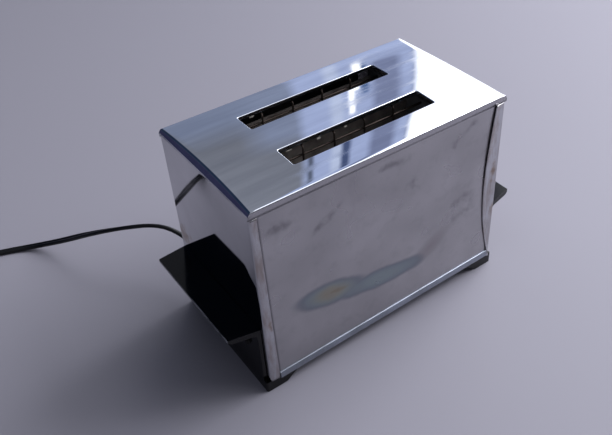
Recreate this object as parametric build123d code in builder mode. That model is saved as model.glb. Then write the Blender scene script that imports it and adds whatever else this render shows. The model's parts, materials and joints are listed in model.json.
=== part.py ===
from build123d import *
import math
import os

os.makedirs("parts", exist_ok=True)

# Frame: x along the toaster with the controls at +x, y from front to back, z up from the floor.
# The origin is on the floor under the middle of the case. All sizes are in millimetres.

# Case
body_length = 257.4  # outside the end caps
body_width = 140.0  # outside the side strips
body_top = 195.0  # long top edges above the floor
crown = 2.2  # rise of the top's middle above its long edges
case_bottom = 11.5  # lower edge of the case above the floor
sheet = 0.8  # plated steel of the case
edge_bend = 1.2  # bend along the long top edges
end_roll = 6.0  # roll where the top turns down to the end caps
skirt_depth = 8.0  # strips of the top shell down both long sides
lip_depth = 4.4  # end skirts below the long edges
seam = 0.2  # open line between two case sheets
lap_gap = 0.1  # play between lapped sheets

# Bread slots
slot_length = 141.6
slot_width = 23.3
slot_spacing = 61.1
slot_corner = 1.5
slot_rim = 1.0  # bend of the lip
slot_lip = 2.0  # lips of the slots below the long edges

# Side panels
panel_inset = 3.7  # panel ends in from the end caps' outsides
panel_rise = 4.0  # part of the panel hidden behind the strip
hem_height = 4.0
hem_thickness = 1.9
hem_round = 0.9
hem_inset = 10.5
sprung_hem_inset = 4.7  # front hem shows further right, where the flange has sprung open

# End caps
web_hollow = 1.0  # the end is slightly hollow in plan
cap_corner = 3.0
flange_top_reach = 6.8  # free edge of a flange at its top and bottom, in from the end
flange_foot_reach = 10.1
sprung_top = (11.5, 5.0)  # bowed front right flange: in from the end and down from the top
sprung_middle = (18.4, 81.0)
sprung_foot = (3.6, 177.0)
cap_in = 3.0  # how far in from its free edge a cap's blank is cut
lever_slot_width = 4.0
lever_clearance = 3.0  # slot beyond the lever arm at both ends of its travel

# End mouldings: handle shelf, wall and foot in one
wall_thickness = 2.95
wall_gap = 0.05
wall_inset = 5.0  # in from the case's sides
shelf_reach = 27.8  # shelf tip outside the case end
shelf_root_top = 72.6
shelf_tip_top = 74.5
shelf_thickness = 5.3
shelf_tip_inset = 9.4
shelf_fillet = 5.0
shelf_corner = 1.5
nose_flat = 2.2
nose_run = 3.6
nose_round = 1.2
foot_inset = 1.0
foot_flat_reach = 16.7  # flat part of the foot, in from the case's end
foot_slope_run = 15.0
foot_gap = 0.2
foot_corner = 1.5

# Base pan and crumb door
pan_sheet = 1.0
pan_gap = 0.3
pan_lift = 0.1
pan_rim = 6.0
pan_corner = 2.5
crumb_half_length = 72.0
crumb_half_width = 48.0
crumb_lip = 2.0
door_sheet = 0.8
door_gap = 0.4
door_overlap_x = 6.0
door_overlap_y = 4.0
door_rim = 3.0
hinge_offset = 6.0  # hinge axis outside the crumb opening
pin_radius = 1.0
pin_fit = 0.05
knuckle_radius = 2.0
knuckle_length = 10.0
knuckle_spacing = 30.0
knuckle_gap = 0.4
knuckle_clear = 0.4
catch_half_width = 7.0
catch_sheet = 0.6
catch_reach = 9.0
catch_tip = 2.0
stud_radius = 1.5
stud_length = 2.6
stud_clear = 0.3

# Frame plates between the pan and the top
plate_clear = 8.7  # inner face outside the slots' ends
plate_sheet = 1.0
plate_inset = 10.0  # in from the case's sides
plate_seat = 0.2
plate_drop = 11.0  # top below the case's long edges
plate_flange = 8.0
plate_corner = 4.0
rack_slot_width = 5.0

# Heaters: mica cards with a wound ribbon each
card_thickness = 0.6
card_end_gap = 3.5
card_lift = 9.2  # above the plates' lower edge
card_drop = 4.0  # below the plates' upper edge
card_tab_height = 12.0
card_tab_reach = 5.0
card_tab_clear = 0.2
side_card_offset = 21.15  # outer cards from the middle of the slots
ribbon_width = 2.4
ribbon_thickness = 0.4
ribbon_gap = 0.05
ribbon_turns = 9
ribbon_inset = 1.4
ribbon_margin = 12.0
notch_clear = 0.3

# Guard wires
guard_wire = 0.9
wire_sides = 6  # thin wires are drawn with flat sides
guard_rail = 1.0
guard_offset = 1.5  # wire line outside the slot's edge
guard_pitch = 31.0
guard_count = 4
guard_lift = 11.2
guard_rise = 6.0  # hooks above the plates' upper edge
guard_hook = 6.0
guard_bend = 2.4
weld = 0.2
rail_lift = 17.2
rail_drop = 3.5
rail_gap = 0.1

# Carriage
travel = 60.0
rack_drop = 83.0  # bread rests this far below the case's long edges
rack_height = 10.0
rack_sheet = 1.2
rack_overhang = 4.5
finger_count = 6
finger_pitch = 24.0
finger_length = 14.0
finger_width = 3.0
finger_thickness = 1.2
bracket_clear = 13.5  # outside the frame plate's inner face
bracket_sheet = 1.2
bracket_margin = 5.45
bracket_below = 2.0
bracket_height = 16.0
upright_half = 10.0
sleeve_radius = 4.5
sleeve_length = 42.0
rod_offset = 7.0
rod_radius = 2.5
rod_fit = 0.05
sleeve_drop = 8.0
web_half_thickness = 2.0
arm_half = 1.0
arm_drop = 24.0  # arm below the sleeve's top
arm_height = 6.0
arm_reach = 17.3  # outside the case's end
knob_gap = 2.8
knob_length = 18.5
knob_half_width = 12.0
knob_height = 13.0
knob_corner = 2.0
knob_soft = 1.2
knob_fit = 0.1
ear_y = 14.0
ear_half = 4.0
ear_drop = 37.2
ear_sheet = 1.2
striker_y0 = -16.0
striker_y1 = -10.0
striker_reach = 12.0
striker_drop = 8.0
striker_sheet = 2.0
tab_front = -10.0
tab_back = 20.0
tab_margin = 8.0
bumper_radius = 5.0
bumper_gap = 0.3
bumper_fit = 0.05
spring_radius = 3.4
spring_wire = 0.8
spring_turns = 6
spring_sides = 8  # straight runs in each turn

# Latch and thermostat
latch_offset = 6.0  # outside the carriage bracket
latch_sheet = 2.0
latch_y = -24.0
latch_z = 32.0
latch_half = 3.0
latch_boss = 4.5
latch_pin = 1.5
latch_fit = 0.05
latch_clear = 1.0
latch_hook_height = 4.0
latch_hook_gap = 1.3
latch_tail = 12.0
latch_bracket_sheet = 1.2
latch_side_gap = 0.4
bimetal_inset = 15.0
bimetal_half = 4.0
bimetal_offset = 8.1
bimetal_sheet = 0.8
bimetal_height = 72.0

# Browning control
shaft_z = 40.0
shaft_radius = 3.0
shaft_fit = 0.05
shaft_inside = 23.7  # shaft, cam and bracket, in from the case's end
cam_inside = 20.7
cam_width = 3.0
cam_radius = 9.0
cam_lift = 3.0
cam_sides = 12
control_bracket_inside = 14.7
control_bracket_half = 14.0
control_bracket_sheet = 1.2
control_bracket_rise = 10.0
dial_gap = 0.4
dial_width = 12.0
dial_radius = 12.0
dial_flutes = 18
dial_flute = 1.0

# Electrics
block_inside = 16.7
block_length = 20.0
block_inset = 16.0
block_width = 18.0
block_height = 13.0
block_poles = 3
switch_offset = 2.0
switch_length = 11.0
switch_width = 14.0
switch_height = 17.0
blade_clear = 0.5
blade_sheet = 0.5
blade_width = 4.0
seat = 0.1
bus_offset = 4.5
bus_sheet = 1.0
bus_height = 10.0
bus_drop = 34.0
lead_core = 1.5

# Screws
screw_head = 3.4
screw_head_height = 2.2
terminal_head = 2.38
screw_shank = 1.65
screw_clear = 0.25
screw_slot = 0.9
screw_length = 8.0
screw_sides = 8
screw_taper = 20.0  # degrees, sides of the head
wall_screw_inset = 20.0
wall_screw_z = 45.0
base_screw_inset = 4.0
base_screw_offset = 4.1

# Mains lead: route of its free stretch, from the strain relief to the coil
cord_radius = 3.2
cord_sides = 6
arc_share = 0.45  # part of a run that the arc beside it may take
relief_start = (-108.5, 43.2)  # x and z where the lead leaves the rear panel
relief_neck = 4.3
relief_hole_clear = 0.2
relief_flange = 6.0
relief_flange_thickness = 1.6
relief_collar = 6.5
relief_collar_thickness = 2.0
relief_root = 5.5
relief_tip = 3.8
relief_sides = 12
relief_taper_start = 1.5  # inside the collar, clear of the panel
cord_route = [
    (-112.0, 95.0, 47.5),
    (-116.0, 108.0, 52.5),
    (-131.0, 127.0, 58.0),
    (-160.0, 151.0, 52.0),
    (-183.0, 181.0, 37.0),
    (-202.0, 213.0, 17.0),
    (-226.0, 242.0, 3.4),
    (-262.0, 257.0, 3.7),
    (-300.0, 266.0, 4.2),
    (-322.0, 271.2, 4.2),
]
coil_start_radius = 43.0  # where the lead meets the coil, from its middle
coil_step = 4.2  # change of that distance with each half turn
coil_rise = 7.3
coil_low_turns = 3
coil_high_turns = 2
coil_tail = 36.0
tie_thickness = 0.7
tie_width = 5.0
tie_gap = 0.3
tie_corner = 2.0

# Plug
plug_length = 28.0
plug_width = 26.0
plug_height = 21.8
plug_corner = 6.0
plug_slope = 4.0  # bevel of the shoulder
plug_neck = 8.0
pin_width = 6.35
pin_thickness = 1.5
pin_length = 17.0
pin_spacing = 12.7

# Worked out from the sizes above
half_length = body_length / 2
half_width = body_width / 2
panel_half = half_length - panel_inset
hem_half = half_length - hem_inset
sprung_hem_end = half_length - sprung_hem_inset
sprung_marks = (sprung_top, sprung_middle, sprung_foot)
sprung_edge = [(half_length - reach, body_top - drop) for reach, drop in sprung_marks]
wall_half = half_width - wall_inset
shelf_tip_half = half_width - shelf_tip_inset
foot_half = half_width - foot_inset
foot_flat_in = half_length - foot_flat_reach
foot_slope_in = foot_flat_in - foot_slope_run
hinge_y = crumb_half_width + hinge_offset
skirt_bottom = body_top - skirt_depth
lip_bottom = body_top - lip_depth
panel_face = half_width - sheet - lap_gap
panel_top = skirt_bottom + panel_rise
slot_y = slot_spacing / 2
slot_places = [(0, -slot_y), (0, slot_y)]
wall_in = half_length + wall_gap
wall_out = wall_in + wall_thickness
shelf_tip = half_length + shelf_reach
foot_top = case_bottom - foot_gap
pan_bottom = case_bottom + pan_lift
pan_floor = pan_bottom + pan_sheet
pan_half_length = half_length - web_hollow - sheet - pan_gap
pan_half_width = panel_face - sheet - pan_gap
door_top = pan_bottom - door_gap
door_half_length = crumb_half_length + door_overlap_x
door_half_width = crumb_half_width + door_overlap_y
hinge_z = door_top - knuckle_radius
plate_x = slot_length / 2 + plate_clear
plate_outer = plate_x + plate_sheet
plate_half = half_width - plate_inset
plate_bottom = pan_floor + plate_seat
plate_top = body_top - plate_drop
card_half = plate_x - card_end_gap
card_bottom = plate_bottom + card_lift
card_top = plate_top - card_drop
side_card_y = slot_y + side_card_offset
guard_bottom = plate_bottom + guard_lift
guard_top = plate_top + guard_rise
rail_low = plate_bottom + rail_lift
rail_high = plate_top - rail_drop
rack_top = body_top - rack_drop
rack_bottom = rack_top - rack_height
bracket_x = plate_x + bracket_clear
bracket_half = slot_y + bracket_margin
rod_x = bracket_x + rod_offset
sleeve_top = plate_top - sleeve_drop
arm_bottom = sleeve_top - arm_drop
arm_end = half_length + arm_reach
knob_start = half_length + knob_gap
knob_end = knob_start + knob_length
ear_bottom = sleeve_top - ear_drop
striker_bottom = rack_top - striker_drop
latch_x = bracket_x + latch_offset
bimetal_y = bimetal_inset - plate_half
bimetal_x = plate_x + bimetal_offset
bimetal_top = plate_bottom + bimetal_height
shaft_start = half_length - shaft_inside
cam_start = half_length - cam_inside
control_bracket_x = half_length - control_bracket_inside
control_bracket_top = shaft_z + control_bracket_rise
block_x0 = block_inside - half_length
block_x1 = block_x0 + block_length
block_y1 = half_width - block_inset
block_y0 = block_y1 - block_width
switch_x0 = bracket_x + switch_offset
switch_x1 = switch_x0 + switch_length
switch_y1 = bracket_half
switch_y0 = switch_y1 - switch_width
bus_x = plate_x + bus_offset
bus_z = plate_top - bus_drop
wall_screw_y = wall_half - wall_screw_inset
base_screw_y = plate_half - base_screw_inset
base_screw_x = plate_outer + base_screw_offset
base_screw_places = [
    (-base_screw_x, -base_screw_y),
    (-base_screw_x, base_screw_y),
    (base_screw_x, -base_screw_y),
    (base_screw_x, base_screw_y),
]
bracket_bottom = rack_bottom - bracket_below
bracket_face = bracket_x + bracket_sheet
sleeve_bottom = sleeve_top - sleeve_length
spring_bottom = ear_bottom + ear_sheet
spring_top = plate_top - plate_sheet
card_places = {"front": -side_card_y, "middle": 0.0, "rear": side_card_y}


def write_step(piece, name):
    """Labels a finished piece and writes it as its own STEP file."""
    piece.part.label = name
    export_step(piece.part, f"parts/{name}.step")


def span_box(x_span, y_span, z_span, mode=Mode.ADD):
    """Adds or cuts a box given by its lowest and highest x, y and z."""
    spans = (x_span, y_span, z_span)
    with Locations(tuple(sum(span) / 2 for span in spans)):
        Box(*(abs(span[1] - span[0]) for span in spans), mode=mode)


def y_plane(y):
    """Upright plane across y, facing the front, with x to the right and z up."""
    return Plane.XZ.offset(-y)


# Case sheets
def crowned_block(inset, bottom):
    """Block under the top's skin: arched across, bent at its long edges, rolled at both ends."""
    half = half_width - inset
    top = body_top - inset
    with BuildPart() as block:
        with BuildSketch(Plane.YZ):
            with BuildLine():
                arch = ThreePointArc((-half, top), (0, top + crown), (half, top))
                Polyline(arch @ 1, (half, bottom), (-half, bottom), arch @ 0)
            make_face()
        extrude(amount=body_length, both=True)
        long_edges = block.edges().filter_by(Axis.X).group_by(Axis.Z)[-1]
        fillet(long_edges, edge_bend - inset)
        with BuildSketch(Plane.XZ) as side_view:
            with BuildLine():
                Polyline(
                    (inset - half_length, bottom),
                    (inset - half_length, top + crown),
                    (half_length - inset, top + crown),
                    (half_length - inset, bottom),
                    close=True,
                )
            make_face()
            fillet(side_view.vertices().group_by(Axis.Y)[-1], end_roll - inset)
        extrude(amount=body_width, both=True, mode=Mode.INTERSECT)
    return block.part


with BuildPart() as top_hollow:
    add(crowned_block(sheet, skirt_bottom - sheet))
    with BuildSketch(Plane.XY.offset(skirt_bottom - sheet)):
        with Locations(*slot_places):
            RectangleRounded(slot_length + 2 * sheet, slot_width + 2 * sheet, slot_corner + sheet)
    extrude(amount=skirt_depth + sheet + crown, mode=Mode.SUBTRACT)

with BuildPart() as top_shell:
    add(crowned_block(0, skirt_bottom))
    with BuildSketch(Plane.XY.offset(skirt_bottom)):
        with Locations(*slot_places):
            RectangleRounded(slot_length, slot_width, slot_corner)
    extrude(amount=skirt_depth + 2 * crown, mode=Mode.SUBTRACT)
    slot_rims = [
        edge
        for edge in top_shell.edges()
        if edge.center().Z > body_top
        and abs(edge.center().X) < slot_length / 2 + seam
        and abs(abs(edge.center().Y) - slot_y) < slot_width / 2 + seam
    ]
    chamfer(slot_rims, slot_rim)
    add(top_hollow.part, mode=Mode.SUBTRACT)
    inner_half = half_width - sheet
    span_box(
        (-body_length, body_length),
        (-inner_half, inner_half),
        (skirt_bottom - sheet, lip_bottom),
        mode=Mode.SUBTRACT,
    )
    for _, y in slot_places:
        span_box(
            (-slot_length / 2 - 2 * sheet, slot_length / 2 + 2 * sheet),
            (y - slot_width / 2 - 2 * sheet, y + slot_width / 2 + 2 * sheet),
            (skirt_bottom, body_top - slot_lip),
            mode=Mode.SUBTRACT,
        )
write_step(top_shell, "top_shell")


def side_panel(side, hem_end):
    """Flat side sheet with its lower edge turned into a hem; side is -1 in front and 1 behind."""
    with BuildPart() as panel:
        span_box(
            (-panel_half, panel_half),
            (side * (panel_face - sheet), side * panel_face),
            (case_bottom + hem_round, panel_top),
        )
        with BuildSketch(Plane.YZ.offset(-hem_half)):
            with Locations((side * (panel_face - sheet + hem_thickness / 2), case_bottom + hem_height / 2)):
                RectangleRounded(hem_thickness, hem_height, hem_round)
        extrude(amount=hem_half + hem_end)
        if side > 0:
            with BuildSketch(y_plane(half_width)):
                with Locations(relief_start):
                    Circle(relief_neck + relief_hole_clear)
            extrude(amount=2 * hem_thickness + sheet, mode=Mode.SUBTRACT)
    return panel


front_panel = side_panel(-1, sprung_hem_end)
write_step(front_panel, "front_side_panel")
rear_panel = side_panel(1, hem_half)
write_step(rear_panel, "rear_side_panel")


# End caps
flange_top = skirt_bottom - seam
web_top = lip_bottom - seam
web_half = half_width - sheet - pan_gap
blank_edge = sprung_edge[1][0] - cap_in
straight_edge = [(half_length - flange_top_reach, web_top), (half_length - flange_foot_reach, case_bottom)]


def cap_block(inset):
    """Upright block that fills an end cap: hollow web, rounded corners and straight flanges."""
    half = half_width - inset
    web_x = half_length - inset
    with BuildPart() as block:
        with BuildSketch(Plane.XY.offset(case_bottom - inset)) as plan:
            with BuildLine():
                web = ThreePointArc((web_x, -half), (web_x - web_hollow, 0), (web_x, half))
                Polyline(web @ 1, (blank_edge - inset, half), (blank_edge - inset, -half), web @ 0)
            make_face()
            fillet(plan.vertices().group_by(Axis.X)[-1], cap_corner - inset)
        extrude(amount=web_top - case_bottom + 2 * inset)
    return block.part


def cut_flange(side, edge_points):
    """Trims one flange back to its free edge, which is straight or bowed through three points."""
    with BuildSketch(Plane.XZ) as offcut:
        with BuildLine():
            if len(edge_points) == 3:
                edge = ThreePointArc(*edge_points)
            else:
                edge = Line(*edge_points)
            Polyline(
                edge @ 1,
                ((edge @ 1).X, case_bottom - sheet),
                (blank_edge - cap_in, case_bottom - sheet),
                (blank_edge - cap_in, web_top + sheet),
                ((edge @ 0).X, web_top + sheet),
                edge @ 0,
            )
        make_face()
    extrude(offcut.sketch, amount=-side * body_width, mode=Mode.SUBTRACT)


def end_cap(front_edge):
    """End cap at +x: web, flanges round both corners, and screw holes for the end moulding."""
    with BuildPart() as cap:
        add(cap_block(0))
        add(cap_block(sheet), mode=Mode.SUBTRACT)
        for side in (-1, 1):
            span_box(
                (blank_edge - cap_in, body_length),
                (side * web_half, side * body_width),
                (flange_top, web_top + sheet),
                mode=Mode.SUBTRACT,
            )
        cut_flange(1, straight_edge)
        cut_flange(-1, front_edge)
        with BuildSketch(Plane.YZ.offset(half_length - 2 * cap_corner)):
            with Locations((-wall_screw_y, wall_screw_z), (wall_screw_y, wall_screw_z)):
                Circle(screw_shank + screw_clear)
        extrude(amount=3 * cap_corner, mode=Mode.SUBTRACT)
    return cap.part


with BuildPart() as left_end_cap:
    straight_cap = end_cap(straight_edge)
    mirror(straight_cap, about=Plane.YZ)
write_step(left_end_cap, "left_end_cap")

with BuildPart() as right_end_cap:
    add(end_cap(sprung_edge))
    with BuildSketch(Plane.YZ.offset(half_length - 2 * cap_corner)):
        with Locations((0, shaft_z)):
            Circle(shaft_radius + 2 * screw_clear)
        with Locations((0, arm_bottom + (arm_height - travel) / 2)):
            Rectangle(lever_slot_width, travel + arm_height + 2 * lever_clearance)
    extrude(amount=3 * cap_corner, mode=Mode.SUBTRACT)
write_step(right_end_cap, "right_end_cap")


# End mouldings
def foot_rail():
    """Foot across the end, sloped up towards the middle, with its outer corners rounded."""
    with BuildPart() as rail:
        with BuildSketch(Plane.XZ):
            with BuildLine():
                Polyline(
                    (foot_slope_in, foot_top),
                    (foot_flat_in, 0),
                    (wall_out, 0),
                    (wall_out, foot_top),
                    close=True,
                )
            make_face()
        extrude(amount=foot_half, both=True)
        fillet(rail.edges().filter_by(Axis.Z), foot_corner)
    return rail.part


def end_moulding(shaft_hole):
    """Phenolic moulding at +x: shelf with a soft nose, wall with fillet, and a foot under the case."""
    shelf_under = shelf_root_top - shelf_thickness
    with BuildPart() as moulding:
        with BuildSketch(Plane.XZ) as side_view:
            with BuildLine():
                Polyline(
                    (wall_in, shelf_root_top),
                    (shelf_tip, shelf_tip_top),
                    (shelf_tip, shelf_tip_top - nose_flat),
                    (shelf_tip - nose_run, shelf_tip_top - shelf_thickness),
                    (wall_out, shelf_under),
                    (wall_out, 0),
                    (wall_in, 0),
                    close=True,
                )
            make_face()
            corners = side_view.vertices()
            fillet(corners.sort_by_distance((wall_out, shelf_under))[0], shelf_fillet)
            fillet(corners.sort_by_distance((shelf_tip, shelf_tip_top - nose_flat))[0], nose_round)
            fillet(corners.sort_by_distance((shelf_tip - nose_run, shelf_under))[0], nose_round)
        extrude(amount=wall_half, both=True)
        with BuildSketch(Plane.XY) as plan:
            with BuildLine():
                Polyline(
                    (wall_in, -wall_half),
                    (shelf_tip, -shelf_tip_half),
                    (shelf_tip, shelf_tip_half),
                    (wall_in, wall_half),
                    close=True,
                )
            make_face()
            fillet(plan.vertices().group_by(Axis.X)[-1], shelf_corner)
        extrude(amount=body_top, mode=Mode.INTERSECT)
        add(foot_rail())
        with BuildSketch(Plane.YZ.offset(half_length)):
            with Locations((-wall_screw_y, wall_screw_z), (wall_screw_y, wall_screw_z)):
                Circle(screw_shank + screw_clear)
            if shaft_hole:
                with Locations((0, shaft_z)):
                    Circle(shaft_radius + shaft_fit)
        extrude(amount=2 * wall_thickness, mode=Mode.SUBTRACT)
    return moulding.part


with BuildPart() as left_end_moulding:
    mirror(end_moulding(False), about=Plane.YZ)
write_step(left_end_moulding, "left_end_moulding")

with BuildPart() as right_end_moulding:
    add(end_moulding(True))
write_step(right_end_moulding, "right_end_moulding")


# Base pan, crumb door and hinge
def knuckles(centres, leaf):
    """Hinge knuckles round the pin; leaf is the span of the plate that each grows from, in y and z."""
    for x in centres:
        with BuildSketch(Plane.YZ.offset(x - knuckle_length / 2)) as roll:
            with Locations((hinge_y, hinge_z)):
                Circle(knuckle_radius)
        extrude(roll.sketch, amount=knuckle_length)
        span_box((x - knuckle_length / 2, x + knuckle_length / 2), *leaf)


def hinge_bore():
    """Cuts the pin's bore through every knuckle."""
    with BuildSketch(Plane.YZ.offset(-pan_half_length)) as bore:
        with Locations((hinge_y, hinge_z)):
            Circle(pin_radius + pin_fit)
    extrude(bore.sketch, amount=2 * pan_half_length, mode=Mode.SUBTRACT)


pan_knuckles = [-knuckle_spacing, knuckle_spacing]
door_knuckle_x = knuckle_spacing - knuckle_length - knuckle_gap
door_knuckles = [-door_knuckle_x, door_knuckle_x]
leaf_in = hinge_y + pin_radius + 2 * pin_fit

with BuildPart() as base_pan:
    with BuildSketch(Plane.XY.offset(pan_bottom)):
        RectangleRounded(2 * pan_half_length, 2 * pan_half_width, pan_corner)
        Rectangle(2 * crumb_half_length, 2 * crumb_half_width, mode=Mode.SUBTRACT)
    extrude(amount=pan_sheet)
    with BuildSketch(Plane.XY.offset(pan_bottom)):
        RectangleRounded(2 * pan_half_length, 2 * pan_half_width, pan_corner)
        RectangleRounded(
            2 * (pan_half_length - pan_sheet),
            2 * (pan_half_width - pan_sheet),
            pan_corner - pan_sheet,
            mode=Mode.SUBTRACT,
        )
    extrude(amount=pan_rim)
    with BuildSketch(Plane.XY.offset(pan_bottom)):
        Rectangle(2 * (crumb_half_length + pan_sheet), 2 * (crumb_half_width + pan_sheet))
        Rectangle(2 * crumb_half_length, 2 * crumb_half_width, mode=Mode.SUBTRACT)
    extrude(amount=pan_sheet + crumb_lip)
    knuckles(pan_knuckles, ((leaf_in, hinge_y + knuckle_radius), (hinge_z, pan_floor)))
    hinge_bore()
    with BuildSketch(Plane.XY.offset(pan_bottom)):
        with Locations((0, -door_half_width - catch_reach / 2)):
            Circle(stud_radius)
    extrude(amount=-stud_length)
    with BuildSketch(Plane.XY.offset(pan_bottom - stud_length)):
        with Locations(*base_screw_places):
            Circle(screw_shank + screw_clear)
    extrude(amount=stud_length + 2 * pan_sheet, mode=Mode.SUBTRACT)
write_step(base_pan, "base_pan")

with BuildPart() as crumb_door:
    door_edge = hinge_y - knuckle_radius - knuckle_clear
    door_under = door_top - door_sheet
    span_box((-door_half_length, door_half_length), (-door_half_width, door_edge), (door_under, door_top))
    for side in (-1, 1):
        span_box(
            (side * (door_half_length - door_sheet), side * door_half_length),
            (-door_half_width, door_edge),
            (door_top - door_rim, door_top),
        )
    for y in (-door_half_width, door_edge - door_sheet):
        span_box(
            (-door_half_length, door_half_length),
            (y, y + door_sheet),
            (door_top - door_rim, door_top),
        )
    knuckles(door_knuckles, ((door_edge, hinge_y), (door_under, door_top)))
    hinge_bore()
write_step(crumb_door, "crumb_door")

with BuildPart() as crumb_hinge_pin:
    pin_half = knuckle_spacing + knuckle_length / 2 + knuckle_gap
    with BuildSketch(Plane.YZ.offset(-pin_half)):
        with Locations((hinge_y, hinge_z)):
            Circle(pin_radius)
    extrude(amount=2 * pin_half)
write_step(crumb_hinge_pin, "crumb_hinge_pin")

with BuildPart() as door_catch:
    catch_back = -door_half_width
    catch_front = catch_back - catch_reach
    catch_top = door_top - door_sheet
    with BuildSketch(Plane.YZ.offset(-catch_half_width)):
        with BuildLine():
            Polyline(
                (catch_back, catch_top),
                (catch_front, catch_top),
                (catch_front - catch_tip, catch_top - catch_tip),
                (catch_front - catch_tip, catch_top - catch_tip - catch_sheet),
                (catch_front, catch_top - catch_sheet),
                (catch_back - catch_sheet, catch_top - catch_sheet),
                (catch_back - catch_sheet, door_top - door_rim),
                (catch_back, door_top - door_rim),
                close=True,
            )
        make_face()
    extrude(amount=2 * catch_half_width)
    with BuildSketch(Plane.XY.offset(catch_top)):
        with Locations((0, -door_half_width - catch_reach / 2)):
            Circle(stud_radius + stud_clear)
    extrude(amount=-2 * catch_sheet, mode=Mode.SUBTRACT)
write_step(door_catch, "door_catch")


# Frame plates
def frame_plate(top_tab):
    """Upright plate at +x with flanges turned outwards, rack slots and slots for the cards' tabs."""
    with BuildPart() as plate:
        with BuildSketch(Plane.YZ.offset(plate_x)):
            with Locations((0, (plate_bottom + plate_top) / 2)):
                Rectangle(2 * plate_half, plate_top - plate_bottom)
            slot_low = rack_bottom - travel - bracket_below
            slot_high = rack_top + finger_thickness + bracket_below
            with Locations(*[(y, (slot_low + slot_high) / 2) for _, y in slot_places]):
                Rectangle(rack_slot_width, slot_high - slot_low, mode=Mode.SUBTRACT)
            for y in card_places.values():
                for z in (card_bottom, card_top):
                    with Locations((y, (z + 2 * face_middle_z()) / 3)):
                        Rectangle(
                            card_thickness + 2 * card_tab_clear,
                            card_tab_height + 2 * card_tab_clear,
                            mode=Mode.SUBTRACT,
                        )
        extrude(amount=plate_sheet)
        for z_span in ((plate_bottom, plate_bottom + plate_sheet), (plate_top - plate_sheet, plate_top)):
            span_box((plate_x, plate_outer + plate_flange), (-plate_half, plate_half), z_span)
        if top_tab:
            span_box(
                (plate_outer, rod_x + tab_margin),
                (tab_front, tab_back),
                (plate_top - plate_sheet, plate_top),
            )
            with Locations((rod_x, 0, plate_top)):
                Cylinder(rod_radius + rod_fit, 2 * plate_sheet + seam, mode=Mode.SUBTRACT)
        with Locations(*[(base_screw_x, y, plate_bottom) for y in (-base_screw_y, base_screw_y)]):
            Cylinder(screw_shank + screw_clear, 4 * plate_sheet, mode=Mode.SUBTRACT)
    return plate.part


def face_middle_z():
    """Height of the middle of the mica cards."""
    return (card_bottom + card_top) / 2


with BuildPart() as left_frame_plate:
    mirror(frame_plate(False), about=Plane.YZ)
write_step(left_frame_plate, "left_frame_plate")

with BuildPart() as right_frame_plate:
    add(frame_plate(True))
write_step(right_frame_plate, "right_frame_plate")


# Heaters
ribbon_rise = (card_top - card_bottom - 2 * ribbon_margin) / ribbon_turns
ribbon_end = card_half - ribbon_inset
ribbon_heights = [card_bottom + ribbon_margin + k * ribbon_rise for k in range(ribbon_turns)]


def mica_card(y):
    """Mica card with notches that space the ribbon and tabs that pass through the frame plates."""
    with BuildPart() as card:
        with BuildSketch(y_plane(y + card_thickness / 2)):
            with Locations((0, face_middle_z())):
                Rectangle(2 * card_half, card_top - card_bottom)
            for z in (card_bottom, card_top):
                with Locations((0, (z + 2 * face_middle_z()) / 3)):
                    Rectangle(2 * (card_half + card_tab_reach), card_tab_height)
            notch = ribbon_width + 2 * notch_clear
            notch_depth = 2 * (ribbon_inset + ribbon_thickness + notch_clear)
            right_notches = [(card_half, z) for z in ribbon_heights]
            left_notches = [(-card_half, z + ribbon_rise) for z in ribbon_heights]
            with Locations(*right_notches, *left_notches):
                Rectangle(notch_depth, notch, mode=Mode.SUBTRACT)
        extrude(amount=card_thickness)
    return card


def heater_ribbon(y):
    """One flat ribbon wound round the card: level in front, rising by one turn behind."""
    near = card_thickness / 2 + ribbon_gap
    far = near + ribbon_thickness
    half = ribbon_width / 2
    with BuildPart() as ribbon:
        for z in ribbon_heights:
            span_box((-ribbon_end, ribbon_end), (y - far, y - near), (z - half, z + half))
            span_box(
                (ribbon_end - ribbon_thickness, ribbon_end),
                (y - far, y + far),
                (z - half, z + half),
            )
            with BuildSketch(y_plane(y + far)):
                with BuildLine():
                    Polyline(
                        (ribbon_end, z - half),
                        (ribbon_end, z + half),
                        (-ribbon_end, z + ribbon_rise + half),
                        (-ribbon_end, z + ribbon_rise - half),
                        close=True,
                    )
                make_face()
            extrude(amount=ribbon_thickness)
            next_z = z + ribbon_rise
            span_box(
                (-ribbon_end, ribbon_thickness - ribbon_end),
                (y - far, y + far),
                (next_z - half, next_z + half),
            )
    return ribbon


for place, card_y in card_places.items():
    write_step(mica_card(card_y), f"{place}_mica_card")
    write_step(heater_ribbon(card_y), f"{place}_heater_ribbon")


# Guard wires: upright wires welded to two rails, with their tops hooked away from the bread
def guard_set(line_y, away):
    """Wires along one long side of a slot; away is the direction in y that leaves the bread."""
    first = -guard_pitch * (guard_count - 1) / 2
    rail_y = line_y + away * (guard_wire + guard_rail - weld)
    rail_half = plate_x - rail_gap
    with BuildPart() as guard:
        for k in range(guard_count):
            x = first + k * guard_pitch
            with BuildLine(Plane.YZ.offset(x)) as wire:
                Polyline(
                    (line_y, guard_bottom),
                    (line_y, guard_top - guard_bend),
                    (line_y + away * guard_bend, guard_top),
                    (line_y + away * guard_hook, guard_top),
                )
            with BuildSketch(Plane((x, line_y, guard_bottom))):
                RegularPolygon(guard_wire, wire_sides)
            sweep(path=wire.wires()[0], transition=Transition.RIGHT)
        for z in (rail_low, rail_high):
            with BuildSketch(Plane.YZ.offset(-rail_half)):
                with Locations((rail_y, z)):
                    RegularPolygon(guard_rail, wire_sides)
            extrude(amount=2 * rail_half)
    return guard


guard_line = slot_width / 2 + guard_offset
write_step(guard_set(-slot_y - guard_line, -1), "front_outer_guard")
write_step(guard_set(-slot_y + guard_line, 1), "front_inner_guard")
write_step(guard_set(slot_y - guard_line, -1), "rear_inner_guard")
write_step(guard_set(slot_y + guard_line, 1), "rear_outer_guard")


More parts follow.
